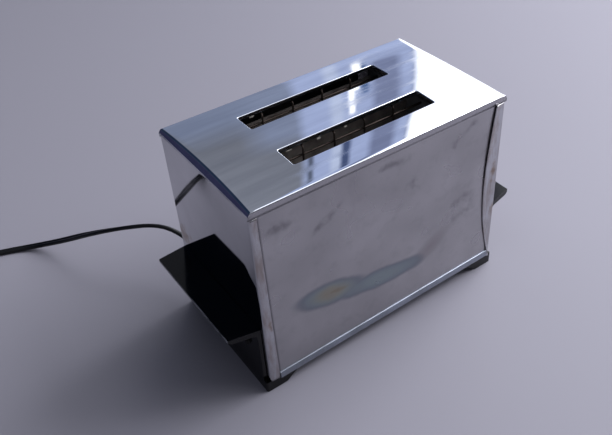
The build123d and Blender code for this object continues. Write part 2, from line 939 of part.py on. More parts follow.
# Carriage
def bread_rack(y):
    """Blade on edge that passes through both frame plates, with cross fingers under the bread."""
    with BuildPart() as rack:
        span_box(
            (-plate_x - rack_overhang, bracket_x),
            (y - rack_sheet / 2, y + rack_sheet / 2),
            (rack_bottom, rack_top),
        )
        first = -finger_pitch * (finger_count - 1) / 2
        for k in range(finger_count):
            x = first + k * finger_pitch
            with BuildSketch(Plane.XY.offset(rack_top)):
                with Locations((x, y)):
                    Rectangle(finger_width, finger_length)
            extrude(amount=finger_thickness)
    return rack


write_step(bread_rack(-slot_y), "front_bread_rack")
write_step(bread_rack(slot_y), "rear_bread_rack")

with BuildPart() as carriage_bracket:
    with BuildSketch(Plane.YZ.offset(bracket_x)):
        with Locations((0, bracket_bottom + bracket_height / 2)):
            RectangleRounded(2 * bracket_half, bracket_height, bracket_sheet)
        with Locations((0, (bracket_bottom + sleeve_top) / 2)):
            Rectangle(2 * upright_half, sleeve_top - bracket_bottom)
    extrude(amount=bracket_sheet)
    span_box((bracket_x, rod_x), (-web_half_thickness, web_half_thickness), (sleeve_bottom, sleeve_top))
    with BuildSketch(Plane.XY.offset(sleeve_bottom)):
        with Locations((rod_x, 0)):
            Circle(sleeve_radius)
    extrude(amount=sleeve_length)
    span_box((rod_x, arm_end), (-arm_half, arm_half), (arm_bottom, arm_bottom + arm_height))
    span_box(
        (bracket_x, rod_x + ear_half),
        (upright_half - ear_half, ear_y + ear_half),
        (ear_bottom, spring_bottom),
    )
    span_box(
        (bracket_x, bracket_face + striker_reach),
        (striker_y0, striker_y1),
        (striker_bottom, striker_bottom + striker_sheet),
    )
    with BuildSketch(Plane.XY.offset(sleeve_bottom)):
        with Locations((rod_x, 0)):
            Circle(rod_radius + rod_fit)
    extrude(amount=sleeve_length, mode=Mode.SUBTRACT)
write_step(carriage_bracket, "carriage_bracket")

with BuildPart() as lift_knob:
    arm_middle = arm_bottom + arm_height / 2
    with BuildSketch(Plane.YZ.offset(knob_start)) as knob_outline:
        with Locations((0, arm_middle)):
            Rectangle(2 * knob_half_width, knob_height)
        chamfer(knob_outline.vertices(), knob_corner)
    extrude(amount=knob_end - knob_start)
    chamfer(lift_knob.faces().sort_by(Axis.X)[-1].edges(), knob_soft)
    span_box(
        (knob_start, arm_end + knob_fit),
        (-arm_half - knob_fit, arm_half + knob_fit),
        (arm_bottom - knob_fit, arm_bottom + arm_height + knob_fit),
        mode=Mode.SUBTRACT,
    )
write_step(lift_knob, "lift_knob")

with BuildPart() as guide_rod:
    with BuildSketch(Plane.XY.offset(pan_floor + seat)):
        with Locations((rod_x, 0)):
            Circle(rod_radius)
    extrude(amount=plate_top + plate_sheet - pan_floor - seat)
write_step(guide_rod, "guide_rod")

with BuildPart() as stop_bumper:
    with BuildSketch(Plane.XY.offset(sleeve_top + bumper_gap)):
        with Locations((rod_x, 0)):
            RegularPolygon(bumper_radius, 2 * wire_sides)
            Circle(rod_radius + bumper_fit, mode=Mode.SUBTRACT)
    extrude(amount=spring_top - sleeve_top - bumper_gap)
write_step(stop_bumper, "stop_bumper")

with BuildPart() as carriage_spring:
    spring_start = spring_bottom + seat + spring_wire / 2
    spring_reach = spring_top - seat - spring_wire / 2 - spring_start
    spring_steps = spring_turns * spring_sides
    spring_points = [
        (
            rod_x + spring_radius * math.cos(2 * math.pi * k / spring_sides),
            ear_y + spring_radius * math.sin(2 * math.pi * k / spring_sides),
            spring_start + spring_reach * k / spring_steps,
        )
        for k in range(spring_steps + 1)
    ]
    with BuildLine() as spring_line:
        Polyline(*spring_points)
    spring_wire_line = spring_line.wires()[0]
    with BuildSketch(Plane(spring_wire_line @ 0, z_dir=spring_wire_line % 0)):
        Rectangle(spring_wire, spring_wire)
    sweep(path=spring_wire_line, transition=Transition.RIGHT)
write_step(carriage_spring, "carriage_spring")


# Latch
striker_down_top = striker_bottom + striker_sheet - travel
hook_under = striker_down_top + latch_hook_gap
hook_tip = striker_y0 - latch_clear

with BuildPart() as latch_lever:
    with BuildSketch(Plane.YZ.offset(latch_x)):
        with Locations((latch_y, latch_z)):
            Circle(latch_boss)
        with Locations((latch_y, (latch_z + hook_under + latch_hook_height) / 2)):
            Rectangle(2 * latch_half, hook_under + latch_hook_height - latch_z)
        with Locations(((latch_y + hook_tip) / 2, hook_under + latch_hook_height / 2)):
            Rectangle(hook_tip - latch_y, latch_hook_height)
        with Locations((latch_y, latch_z - latch_tail / 2)):
            Rectangle(latch_half, latch_tail)
        with Locations((latch_y, latch_z)):
            Circle(latch_pin + latch_fit, mode=Mode.SUBTRACT)
    extrude(amount=latch_sheet)
write_step(latch_lever, "latch_lever")

with BuildPart() as latch_bracket:
    bracket_in = latch_x - latch_side_gap - latch_bracket_sheet
    with BuildSketch(Plane.YZ.offset(bracket_in)):
        with Locations((latch_y, (pan_floor + seat + latch_z) / 2)):
            Rectangle(2 * latch_boss, latch_z - pan_floor - seat)
        with Locations((latch_y, latch_z)):
            Circle(latch_boss)
            Circle(latch_pin, mode=Mode.SUBTRACT)
    extrude(amount=latch_bracket_sheet)
    span_box(
        (bracket_in, latch_x + 3 * latch_sheet),
        (latch_y - latch_boss, latch_y + latch_boss),
        (pan_floor + seat, pan_floor + seat + latch_bracket_sheet),
    )
write_step(latch_bracket, "latch_bracket")

with BuildPart() as latch_pin_piece:
    with BuildSketch(Plane.YZ.offset(bracket_in)):
        with Locations((latch_y, latch_z)):
            Circle(latch_pin)
    extrude(amount=latch_bracket_sheet + latch_side_gap + 2 * latch_sheet)
    with BuildSketch(Plane.YZ.offset(latch_x + latch_sheet + latch_side_gap)):
        with Locations((latch_y, latch_z)):
            RegularPolygon(2 * latch_pin, 2 * wire_sides)
    extrude(amount=latch_sheet / 2)
write_step(latch_pin_piece, "latch_pin")

with BuildPart() as bimetal_strip:
    bimetal_foot = plate_bottom + plate_sheet + seat
    bimetal_span = (bimetal_y - bimetal_half, bimetal_y + bimetal_half)
    span_box((bimetal_x, bimetal_x + bimetal_sheet), bimetal_span, (bimetal_foot, bimetal_top))
    span_box((plate_outer + seat, bimetal_x), bimetal_span, (bimetal_foot, bimetal_foot + bimetal_sheet))
write_step(bimetal_strip, "bimetal_strip")


# Browning control
dial_start = wall_out + dial_gap

with BuildPart() as browning_shaft:
    with BuildSketch(Plane.YZ.offset(shaft_start)):
        with Locations((0, shaft_z)):
            Circle(shaft_radius)
    extrude(amount=dial_start + dial_width / 2 - shaft_start)
write_step(browning_shaft, "browning_shaft")

with BuildPart() as browning_cam:
    with BuildSketch(Plane.YZ.offset(cam_start)):
        with Locations((0, shaft_z)):
            RegularPolygon(cam_radius, 2 * cam_sides)
        with Locations((0, shaft_z + cam_lift)):
            RegularPolygon(cam_radius, 2 * cam_sides)
        with Locations((0, shaft_z)):
            Circle(shaft_radius, mode=Mode.SUBTRACT)
    extrude(amount=cam_width)
write_step(browning_cam, "browning_cam")

with BuildPart() as browning_knob:
    with BuildSketch(Plane.YZ.offset(dial_start)):
        with Locations((0, shaft_z)):
            RegularPolygon(dial_radius, 2 * dial_flutes)
            with PolarLocations(dial_radius, dial_flutes):
                RegularPolygon(dial_flute, 4, mode=Mode.SUBTRACT)
    extrude(amount=dial_width)
    with BuildSketch(Plane.YZ.offset(dial_start)):
        with Locations((0, shaft_z)):
            Circle(shaft_radius)
    extrude(amount=dial_width / 2, mode=Mode.SUBTRACT)
write_step(browning_knob, "browning_knob")

with BuildPart() as control_bracket:
    with BuildSketch(Plane.YZ.offset(control_bracket_x)):
        with Locations((0, (pan_floor + seat + control_bracket_top) / 2)):
            Rectangle(2 * control_bracket_half, control_bracket_top - pan_floor - seat)
        with Locations((0, shaft_z)):
            Circle(shaft_radius + shaft_fit, mode=Mode.SUBTRACT)
    extrude(amount=control_bracket_sheet)
    top_corners = control_bracket.edges().filter_by(Axis.X).group_by(Axis.Z)[-1]
    fillet(top_corners, plate_corner)
    span_box(
        (control_bracket_x, control_bracket_x + plate_flange),
        (-control_bracket_half, control_bracket_half),
        (pan_floor + seat, pan_floor + seat + control_bracket_sheet),
    )
write_step(control_bracket, "control_bracket")


# Electrics
pole_pitch = (block_y1 - block_y0) / block_poles
pole_places = [block_y0 + (k + 0.5) * pole_pitch for k in range(block_poles)]
block_bottom = pan_floor + seat
block_top = block_bottom + block_height
block_middle = (block_x0 + block_x1) / 2

with BuildPart() as terminal_block:
    span_box((block_x0, block_x1), (block_y0, block_y1), (block_bottom, block_top))
    for y in pole_places:
        span_box(
            (block_middle - screw_head, block_middle + screw_head),
            (y - pole_pitch / 2 + sheet / 2, y + pole_pitch / 2 - sheet / 2),
            (block_top - screw_head_height, block_top + screw_head_height),
            mode=Mode.SUBTRACT,
        )
    with BuildSketch(Plane.XY.offset(block_bottom)):
        with Locations(*[(block_middle, y) for y in pole_places]):
            RegularPolygon(screw_shank / 2, screw_sides)
    extrude(amount=block_height, mode=Mode.SUBTRACT)
write_step(terminal_block, "terminal_block")

with BuildPart() as terminal_screws:
    for y in pole_places:
        with BuildSketch(Plane.XY.offset(block_top - screw_head_height)):
            with Locations((block_middle, y)):
                RegularPolygon(terminal_head, screw_sides)
        extrude(amount=screw_head_height / 2)
        with BuildSketch(Plane.XY.offset(block_top - screw_head_height)):
            with Locations((block_middle, y)):
                RegularPolygon(screw_shank / 2, screw_sides)
        extrude(amount=-screw_head_height)
write_step(terminal_screws, "terminal_screws")

with BuildPart() as switch_block:
    span_box((switch_x0, switch_x1), (switch_y0, switch_y1), (block_bottom, block_bottom + switch_height))
write_step(switch_block, "switch_block")

with BuildPart() as switch_blades:
    blades_top = bracket_bottom - travel - blade_clear
    blade_foot = block_bottom + switch_height
    for y in (switch_y0 + blade_width, switch_y1 - blade_width):
        for x in (switch_x0 + 2 * blade_sheet, switch_x0 + 2 * blade_width):
            span_box(
                (x, x + blade_sheet),
                (y - blade_width / 2, y + blade_width / 2),
                (blade_foot, blades_top),
            )
write_step(switch_blades, "switch_blades")

with BuildPart() as bus_bar:
    span_box(
        (-bus_x - bus_sheet, -bus_x),
        (-side_card_y - bus_height / 2, side_card_y + bus_height / 2),
        (bus_z, bus_z + bus_height),
    )
    for y in card_places.values():
        span_box(
            (-bus_x, -plate_outer - seat),
            (y + bus_sheet, y + 2 * bus_sheet),
            (bus_z, bus_z + bus_height),
        )
write_step(bus_bar, "bus_bar")


# Screws
def slotted_screw(length):
    """Slotted pan head screw, head up from its seat at z 0 and shank down."""
    with BuildPart() as screw:
        with BuildSketch(Plane.XY):
            RegularPolygon(screw_head, 2 * screw_sides)
        extrude(amount=screw_head_height, taper=screw_taper)
        with Locations((0, 0, screw_head_height)):
            Box(2 * screw_head, screw_slot, screw_head_height, mode=Mode.SUBTRACT)
        with BuildSketch(Plane.XY):
            RegularPolygon(screw_shank, screw_sides)
        extrude(amount=-length)
    return screw.part


wall_screw = slotted_screw(screw_length)
base_screw = slotted_screw(plate_bottom + 3 * plate_sheet - pan_bottom)

with BuildPart() as moulding_screws:
    for side in (-1, 1):
        for y in (-wall_screw_y, wall_screw_y):
            with Locations(Location((side * wall_out, y, wall_screw_z), (0, side * 90, 0))):
                add(wall_screw)
write_step(moulding_screws, "moulding_screws")

with BuildPart() as base_screws:
    for x, y in base_screw_places:
        with Locations(Location((x, y, pan_bottom), (180, 0, 0))):
            add(base_screw)
write_step(base_screws, "base_screws")


# Mains lead
def cord_section(plane):
    """Cross-section of the lead, drawn inside its round outline."""
    with BuildSketch(plane) as section:
        RegularPolygon(cord_radius, cord_sides)
    return section.sketch


def corner_radius(before, corner, after):
    """Largest arc that the two runs beside a corner allow, and the turn that it makes."""
    run_in = Vector(*corner) - Vector(*before)
    run_out = Vector(*after) - Vector(*corner)
    turn = run_in.get_angle(run_out)
    return arc_share * min(run_in.length, run_out.length) / math.tan(math.radians(turn) / 2)


cord_radii = [corner_radius(*cord_route[k : k + 3]) for k in range(len(cord_route) - 2)]
print("lead radii", [round(radius, 1) for radius in cord_radii])
relief_end = Vector(*cord_route[0])
relief_direction = (Vector(*cord_route[1]) - relief_end).normalized()

with BuildPart() as mains_lead:
    with BuildLine() as lead_path:
        FilletPolyline(*cord_route, radius=cord_radii)
    add(cord_section(Plane(relief_end, z_dir=relief_direction)))
    sweep(path=lead_path.wires()[0])
write_step(mains_lead, "mains_lead")
section_area = cord_section(Plane.XY).area
lead_length = lead_path.wires()[0].length
print("lead length", round(lead_length, 1))
print("lead volume ratio", mains_lead.part.volume / (section_area * lead_length))

relief_x, relief_z = relief_start
with BuildPart() as strain_relief:
    with BuildSketch(y_plane(panel_face - sheet)):
        with Locations(relief_start):
            RegularPolygon(relief_flange, relief_sides)
    extrude(amount=relief_flange_thickness)
    with BuildSketch(y_plane(panel_face)):
        with Locations(relief_start):
            RegularPolygon(relief_neck, relief_sides)
    extrude(amount=sheet)
    with BuildSketch(y_plane(panel_face)):
        with Locations(relief_start):
            RegularPolygon(relief_collar, relief_sides)
    extrude(amount=-relief_collar_thickness)
    relief_base = Vector(relief_x, panel_face + relief_taper_start, relief_z)
    relief_axis = relief_end - relief_base
    relief_reach = relief_axis.length + relief_tip
    relief_taper = math.degrees(math.atan((relief_root - relief_tip) / relief_axis.length))
    with BuildSketch(Plane(relief_base, z_dir=relief_axis)):
        RegularPolygon(relief_root, relief_sides)
    extrude(amount=relief_reach, taper=relief_taper)
    split(bisect_by=Plane(relief_end, z_dir=relief_direction), keep=Keep.BOTTOM)
write_step(strain_relief, "strain_relief")


# Coil of the put-away lead: half turns that spiral in, climb a layer and spiral out again
coil_run = Vector(*cord_route[-1]) - Vector(*cord_route[-2])
coil_along = Vector(coil_run.X, coil_run.Y, 0).normalized()
coil_across = Vector(-coil_along.Y, coil_along.X, 0) * -1
coil_low = cord_route[-1][2]
coil_middle = Vector(*cord_route[-1]) - coil_across * coil_start_radius + coil_along * (2 * cord_radius)


def coil_point(across, along, height):
    """Point of the coil from its distances across and along the arriving lead, and its height."""
    return coil_middle + coil_across * across + coil_along * along + Vector(0, 0, height)


crossings = [(coil_start_radius, 0.0)]
for half_turn in range(coil_low_turns):
    last = abs(crossings[-1][0])
    crossings.append(((-1) ** (half_turn + 1) * (last - coil_step), 0.0))
climb_end = -crossings[-1][0]
crossings.append((climb_end, coil_rise))
for half_turn in range(coil_high_turns):
    last = abs(crossings[-1][0])
    crossings.append((math.copysign(last + coil_step, -crossings[-1][0]), coil_rise))

with BuildLine() as coil_path:
    Line(coil_point(coil_start_radius, -2 * cord_radius, 0), coil_point(coil_start_radius, 0, 0))
    for k in range(len(crossings) - 1):
        (across_a, up_a), (across_b, up_b) = crossings[k], crossings[k + 1]
        reach = math.hypot(across_b - across_a, up_b - up_a) / 2 * (1 if k % 2 == 0 else -1)
        ThreePointArc(
            coil_point(across_a, 0, up_a),
            coil_point((across_a + across_b) / 2, reach, (up_a + up_b) / 2),
            coil_point(across_b, 0, up_b),
        )
    coil_exit = coil_point(crossings[-1][0], coil_tail, crossings[-1][1])
    Line(coil_point(crossings[-1][0], 0, crossings[-1][1]), coil_exit)

coil_wire = coil_path.wires()[0]
with BuildPart() as lead_coil:
    add(cord_section(Plane(coil_wire @ 0, z_dir=coil_wire % 0)))
    sweep(path=coil_wire)
write_step(lead_coil, "lead_coil")


def least_gap(wire, spacing=2.0):
    """Least gap of a tube to itself, measured between points along its line more than a bend apart."""
    count = int(wire.length / spacing)
    points = [wire.position_at(k / count) for k in range(count + 1)]
    skip = int(math.pi * cord_radius / spacing) + 4
    pairs = ((a, b) for a in range(len(points)) for b in range(a + skip, len(points)))
    return min((points[a] - points[b]).length for a, b in pairs) - 2 * cord_radius


print("coil length", round(coil_wire.length, 1), "least gap", round(least_gap(coil_wire), 2))
print("coil volume ratio", lead_coil.part.volume / (section_area * coil_wire.length))

with BuildPart() as coil_tie:
    tie_plane = Plane(coil_point(0, 0, -coil_low), x_dir=coil_along, z_dir=coil_across)
    outer_reach = (coil_start_radius + abs(crossings[1][0])) / 2 + cord_radius + tie_gap
    inner_reach = (abs(crossings[2][0]) + abs(crossings[3][0])) / 2 - cord_radius - tie_gap
    low_reach = coil_low - cord_radius - tie_gap
    high_reach = coil_low + coil_rise + cord_radius + tie_gap
    with BuildSketch(tie_plane.offset(-tie_width / 2)) as tie_outline:
        with Locations(((inner_reach + outer_reach) / 2, (low_reach + high_reach) / 2)):
            tie_long = outer_reach - inner_reach
            tie_high = high_reach - low_reach
            Rectangle(tie_long + 2 * tie_thickness, tie_high + 2 * tie_thickness)
            chamfer(tie_outline.vertices(), tie_corner)
    extrude(amount=tie_width)
    with BuildSketch(tie_plane.offset(-tie_width / 2)) as tie_inside:
        with Locations(((inner_reach + outer_reach) / 2, (low_reach + high_reach) / 2)):
            Rectangle(tie_long, tie_high)
            chamfer(tie_inside.vertices(), tie_corner)
    extrude(amount=tie_width, mode=Mode.SUBTRACT)
write_step(coil_tie, "coil_tie")

plug_plane = Plane(coil_exit, x_dir=coil_across, z_dir=coil_along)
with BuildPart() as plug_body:
    with BuildSketch(plug_plane.offset(plug_neck)) as plug_outline:
        Rectangle(plug_width, plug_height)
        chamfer(plug_outline.vertices(), plug_corner)
    extrude(plug_outline.sketch, amount=plug_length - plug_neck)
    plug_shoulder = plug_body.faces().sort_by_distance(coil_exit)[0]
    chamfer(plug_shoulder.edges(), plug_slope)
    with BuildSketch(plug_plane):
        RegularPolygon(relief_root, 2 * cord_sides)
    extrude(amount=plug_neck)
write_step(plug_body, "plug_body")

with BuildPart() as plug_blades:
    with BuildSketch(plug_plane.offset(plug_length)):
        with Locations((-pin_spacing / 2, 0), (pin_spacing / 2, 0)):
            Rectangle(pin_thickness, pin_width)
    extrude(amount=pin_length)
write_step(plug_blades, "plug_blades")


# Inner leads: from the strain relief to the terminal block, and from there up to the bus bar
def inner_lead(points, bend):
    """One insulated lead, round in section, along straight runs with rounded corners."""
    with BuildLine() as line:
        FilletPolyline(*points, radius=bend)
    route = line.wires()[0]
    with BuildPart() as lead:
        with BuildSketch(Plane(route @ 0, z_dir=route % 0)):
            RegularPolygon(lead_core, wire_sides)
        sweep(path=route)
    return lead.part


with BuildPart() as inner_leads:
    relief_inside = panel_face - sheet - relief_flange_thickness - seat
    lead_foot = block_top - screw_head_height / 2 + seat
    bus_middle = bus_z + bus_height / 2
    add(
        inner_lead(
            [
                (relief_x, relief_inside, relief_z),
                (relief_x, block_y1, relief_z),
                (block_middle, pole_places[-1], (block_top + relief_z) / 2 + lead_core),
                (block_middle, pole_places[-1], lead_foot),
            ],
            2 * lead_core,
        )
    )
    add(
        inner_lead(
            [
                (block_middle, pole_places[0], lead_foot),
                (block_middle, pole_places[0], bus_middle),
                (-bus_x - bus_sheet - seat, pole_places[0], bus_middle),
            ],
            4 * lead_core,
        )
    )
write_step(inner_leads, "inner_leads")
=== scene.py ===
import json
import math

import bmesh
import bpy
import numpy as np
from mathutils import Matrix, Vector

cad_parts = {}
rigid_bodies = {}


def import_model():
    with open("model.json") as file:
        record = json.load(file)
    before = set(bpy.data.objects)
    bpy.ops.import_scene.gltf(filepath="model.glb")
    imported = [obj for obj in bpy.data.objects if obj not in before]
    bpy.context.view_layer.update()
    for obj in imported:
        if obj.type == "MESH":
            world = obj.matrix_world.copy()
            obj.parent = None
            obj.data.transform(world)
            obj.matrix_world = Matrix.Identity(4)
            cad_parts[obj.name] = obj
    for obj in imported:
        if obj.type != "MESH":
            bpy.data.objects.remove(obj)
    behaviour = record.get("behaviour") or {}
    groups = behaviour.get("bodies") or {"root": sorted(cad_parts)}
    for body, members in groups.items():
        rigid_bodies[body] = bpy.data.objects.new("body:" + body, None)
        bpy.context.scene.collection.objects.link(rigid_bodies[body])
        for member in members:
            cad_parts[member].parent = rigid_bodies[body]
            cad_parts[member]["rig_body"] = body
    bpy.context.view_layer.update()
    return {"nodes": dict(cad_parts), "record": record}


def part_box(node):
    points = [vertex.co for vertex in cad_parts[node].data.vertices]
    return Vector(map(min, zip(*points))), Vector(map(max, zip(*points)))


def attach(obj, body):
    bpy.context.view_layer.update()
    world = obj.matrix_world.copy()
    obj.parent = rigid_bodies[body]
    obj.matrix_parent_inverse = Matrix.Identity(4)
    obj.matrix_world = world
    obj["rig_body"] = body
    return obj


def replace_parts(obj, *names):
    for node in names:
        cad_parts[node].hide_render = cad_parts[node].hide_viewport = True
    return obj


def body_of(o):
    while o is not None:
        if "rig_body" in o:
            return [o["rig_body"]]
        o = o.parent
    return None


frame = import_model()

# Real sizes in millimetres, in the frame of the solids
MM = 0.001
BODY_HALF = 128.7  # half length over the end caps
SIDE = 70.0  # half width over the side strips
LONG_EDGE = 195.0  # long top edges above the floor
CROWN = 2.2  # rise of the top's middle
CROWN_RADIUS = (SIDE**2 + CROWN**2) / (2 * CROWN)
SHEET = 0.8
EDGE_BEND = 1.2
END_ROLL = 2.8
END_SLOPE = 54.0  # degrees below level, lip from the roll to its foot
SKIRT_FOOT = 188.3
LIP_STEPS = np.sin(np.linspace(0, np.pi / 2, 14))  # shares of the lip's height, closer near its top
END_LIP_FOOT = 191.9
SLOT_LIP_FOOT = 193.0
SLOT_HALF = 70.8
SLOT_HALF_WIDTH = 11.65
SLOT_MIDDLE = 30.55
SLOT_CORNER = 1.5
SLOT_RIM = 0.7
SLOT_MARGIN = 3.0  # ring of finer mesh round each slot
NEAR = 0.01  # mesh lines this close lie on each other
PANEL_HALF = 125.0
PANEL_FACE = 69.1
PANEL_TOP = 191.0
PANEL_FOOT = 14.0
PANEL_SETBACK = 0.05
PANEL_SWELL = 0.12  # the sheet's middle is pressed out by this much
PANEL_RIPPLE = 0.012
RIPPLE_LONG, RIPPLE_HIGH = 23.0, 31.0  # for one radian of the ripple, along and up
CASE_FOOT = 11.5
HEM_HALF = 118.2
HEM_RIGHT = 124.0
HEM_FOOT, HEM_HEIGHT, HEM_THICK = 10.4, 6.8, 2.0
HEM_EDGE = 0.95  # radius of the hem's round edges
HEM_SQUARE = 3.0  # how much the bead's sine and cosine are pulled out
HEM_FLARE = 0.7
HEM_RISE = 2.0  # the hem lies this much higher at the right end
CAP_CORNER = 3.0
WEB_HOLLOW = 0.3
WEB_SHOULDER = 0.5  # the web falls back this much towards its front corner
SHOULDER_START, SHOULDER_FULL = 55.0, 67.0  # from the middle
FLANGE_TOP = 188.1
FLANGE_EDGE = (118.6, 121.9)  # how far out a flange's free edge lies, at its foot and at its top
WEB_BEND = 0.8
WEB_RISE = 2.5  # straight part of the web above its flanges
WEB_SHELF = 6.0
CORNER_CUT = 1.1  # the corners stop this far in from the sides above the flanges
WEB_REACH = 4.0  # only the web lies this close to the end
LEVER_SLOT = (2.0, 89.0, 161.0)  # half width, lower and upper end
SPRUNG_EDGE = [(117.2, 190.0), (113.2, 152.0), (110.3, 114.0), (112.3, 88.0), (117.1, 47.0), (125.1, 18.0)]
SPRUNG_LEAST, SPRUNG_MOST = 0.3, 1.0  # how far the sprung flange stands off the panel
SPRUNG_HEIGHT, SPRUNG_SPREAD = 160.0, 48.0  # where it stands off most, and how far that reaches
WIRE = 0.9  # radius of the guard wires
RAIL = 1.0
RAIL_LOW, RAIL_HIGH = 30.0, 180.5
WIRE_LINE = 13.15  # wires from the slot's middle line
WIRE_PITCH = 31.0
WIRE_BEND = 2.4
WIRE_HOOK = 6.0
RAIL_SINK = 0.2  # the rails are welded this deep into the wires

# Pale tabs under the slots' rear lips, whose white paints the small glints seen there: (place along the slot,
# foot, half width), then their common sizes
FRONT_TABS = [(-59.6, 191.2, 2.6), (-31.3, 190.3, 1.8), (-4.3, 190.7, 1.4)]
REAR_TABS = [(-56.6, 191.2, 2.2)]
TAB_TOP, TAB_LEAN, TAB_SINK, TAB_THICK = 194.0, 1.2, 0.1, 0.7

# Mains lead, flat twin
LEAD_WIDTH = 7.0
LEAD_THICK = 3.9
LEAD_VALLEY = 0.72  # height of the filled groove as a share of a core's radius
LEAD_EXIT = (-112.0, 95.0, 47.5)
LEAD_ROUTE = [
    LEAD_EXIT,
    (-116.0, 108.0, 52.5),
    (-131.0, 127.0, 58.0),
    (-160.0, 151.0, 52.0),
    (-183.0, 181.0, 37.0),
    (-202.0, 213.0, 17.0),
    (-226.0, 242.0, 2.4),
    (-262.0, 257.0, 2.0),
    (-300.0, 266.0, 2.0),
    (-322.0, 271.2, 2.0),
]
LEAD_TURNS = ((0.0, 70.0, 140.0, 200.0), (-42.0, -40.0, 18.0, 0.0))  # how far along, degrees of turn
COIL_RADIUS = 43.0
COIL_STEP = 4.2
COIL_RISE = 4.1
HALF_TURN_POINTS = 8
COIL_START = 6.4  # from the end of the straight run to the coil's middle
COIL_TAIL = 36.0
COIL_TAIL_LIFT = 1.5  # power of the tail's rise to the plug
PLUG_HEIGHT = 11.5  # middle of the plug above the floor

# Heat tint on the front sheet: (centre, radii, turn, raggedness, size of the outline's lumps)
TINT_LEFT = ((-61.0, -69.1, 75.5), (38.0, 40.0, 14.0), 10.0, 0.25, 16.0)
TINT_RIGHT = ((-8.0, -69.1, 62.0), (54.0, 40.0, 11.0), 6.0, 0.25, 12.0)
TINT_CORE = ((-61.0, -69.1, 75.5), (27.0, 40.0, 11.5), 10.0, 0.3, 9.0)
TINT_SCORCH = ((-58.0, -69.1, 75.5), (14.0, 40.0, 2.4), 8.0, 1.0, 5.0)
TINT_TAIL = ((48.0, -69.1, 66.0), (34.0, 40.0, 12.0), -30.0, 0.5, 14.0)

# Other wear: smudges on the front sheet (centre, radii, turn) and rust on the caps (centre, radii)
SMUDGES = [
    ((78.0, -69.1, 173.0), (20.0, 30.0, 5.0), -28.0),
    ((68.0, -69.1, 164.0), (6.0, 30.0, 3.5), 0.0),
    ((92.0, -69.1, 180.0), (6.0, 30.0, 5.0), 0.0),
    ((27.0, -69.1, 147.0), (11.0, 30.0, 10.0), -40.0),
    ((48.0, -69.1, 157.0), (20.0, 30.0, 6.0), -30.0),
    ((86.0, -69.1, 96.0), (16.0, 30.0, 20.0), 0.0),
    ((-59.0, -69.1, 158.0), (22.0, 30.0, 5.0), -35.0),
    ((-108.0, -69.1, 170.0), (14.0, 30.0, 8.0), 0.0),
    ((5.0, -69.1, 178.0), (25.0, 30.0, 5.0), 0.0),
]
RUST_SPOTS = [
    ((-121.8, -70.0, 75.0), (3.0, 2.0, 8.0)),
    ((124.5, -70.5, 72.0), (4.0, 3.0, 10.0)),
    ((119.5, -72.0, 186.0), (6.0, 4.0, 6.0)),
    ((121.0, -72.0, 118.0), (5.0, 4.0, 18.0)),
    ((-128.0, 58.0, 88.0), (4.0, 20.0, 16.0)),
]

# Where a finish changes across a part: (start, full) from the middle plane
SKIRT_SCOURED = (69.2, 69.9)
FLANGE_RUBBED = (68.5, 69.5)
# shelves' outer edges painted grey: wear, and a painted highlight along the edge
SHELF_WEAR_AND_HIGHLIGHT = (155.75, 156.2)
GAP_SHADE_LINE = (116.0, 117.8)  # painted shade: dark line on the sheets where they run under the left cap's flange
GAP_LEAN = 0.0186  # it runs out this much for each millimetre up

# Camera: solved from the case's corners in a picture 612 x 435
PICTURE = (612.0, 435.0)
PRINCIPAL = (350.5, 197.5)
FOCAL = 762.0
EYE = (-310.6, -444.6, 529.6)
YAW, PITCH, ROLL = 35.9, 38.15, -1.85


# Meshes
GRID_WELD, SOLID_WELD = 2e-6, 1e-6  # metres within which two points of a surface or a solid are one
FLAT, SHARP = 1.0, 35.0  # degrees: faces that make one flat face, edges that stay edges


def grid_faces(rows, columns, close_columns=False):
    """Faces of a grid of points counted row by row; they point to column direction x row direction."""
    c = np.arange(columns if close_columns else columns - 1)
    r, c = np.meshgrid(np.arange(rows - 1), c, indexing="ij")
    down, across = r + 1, (c + 1) % columns
    corners = [r * columns + c, r * columns + across, down * columns + across, down * columns + c]
    return np.stack(corners, -1).reshape(-1, 4)


def piece(name, patches, material, slot, thickness=0.0, smooth_angle=SHARP):
    """Joins patches of (points in mm, faces), welds their common edges and gives a sheet its wall."""
    starts = np.cumsum([0] + [len(points) for points, _ in patches[:-1]])
    points = np.concatenate([points for points, _ in patches]) * MM
    faces = np.concatenate([faces + start for (_, faces), start in zip(patches, starts)])
    mesh = bpy.data.meshes.new(name)
    mesh.from_pydata(points.tolist(), [], faces.tolist())
    work = bmesh.new()
    work.from_mesh(mesh)
    bmesh.ops.remove_doubles(work, verts=work.verts, dist=GRID_WELD)
    work.to_mesh(mesh)
    work.free()
    return placed(name, mesh, material, "root", thickness, smooth_angle)


def placed(name, mesh, material, body, thickness=0.0, smooth_angle=SHARP):
    """Puts a mesh into the scene with its finish, riding on a body."""
    mesh.shade_smooth()
    mesh.set_sharp_from_angle(angle=math.radians(smooth_angle))
    mesh.materials.append(material)
    made = bpy.data.objects.new(name, mesh)
    bpy.context.scene.collection.objects.link(made)
    if thickness:
        wall = made.modifiers.new("Sheet", "SOLIDIFY")
        wall.thickness = thickness * MM
        wall.offset = -1.0
    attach(made, body)
    return made


def softened(node, material, width, segments):
    """Copy of a solid's mesh, merged and with its flat faces whole again, whose edges get a small bevel."""
    source = frame["nodes"][node]
    mesh = source.data.copy()
    mesh.name = f"{node}_soft"
    mesh.materials.clear()
    work = bmesh.new()
    work.from_mesh(mesh)
    bmesh.ops.remove_doubles(work, verts=work.verts, dist=SOLID_WELD)
    bmesh.ops.dissolve_limit(work, angle_limit=math.radians(FLAT), verts=work.verts, edges=work.edges)
    work.to_mesh(mesh)
    work.free()
    body = body_of(source)[0] if body_of(source) else "root"
    made = placed(mesh.name, mesh, material, body)
    bevel = made.modifiers.new("Soft edges", "BEVEL")
    bevel.width = width * MM
    bevel.segments = segments
    bevel.limit_method = "ANGLE"
    bevel.angle_limit = math.radians(SHARP)
    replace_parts(made, node)


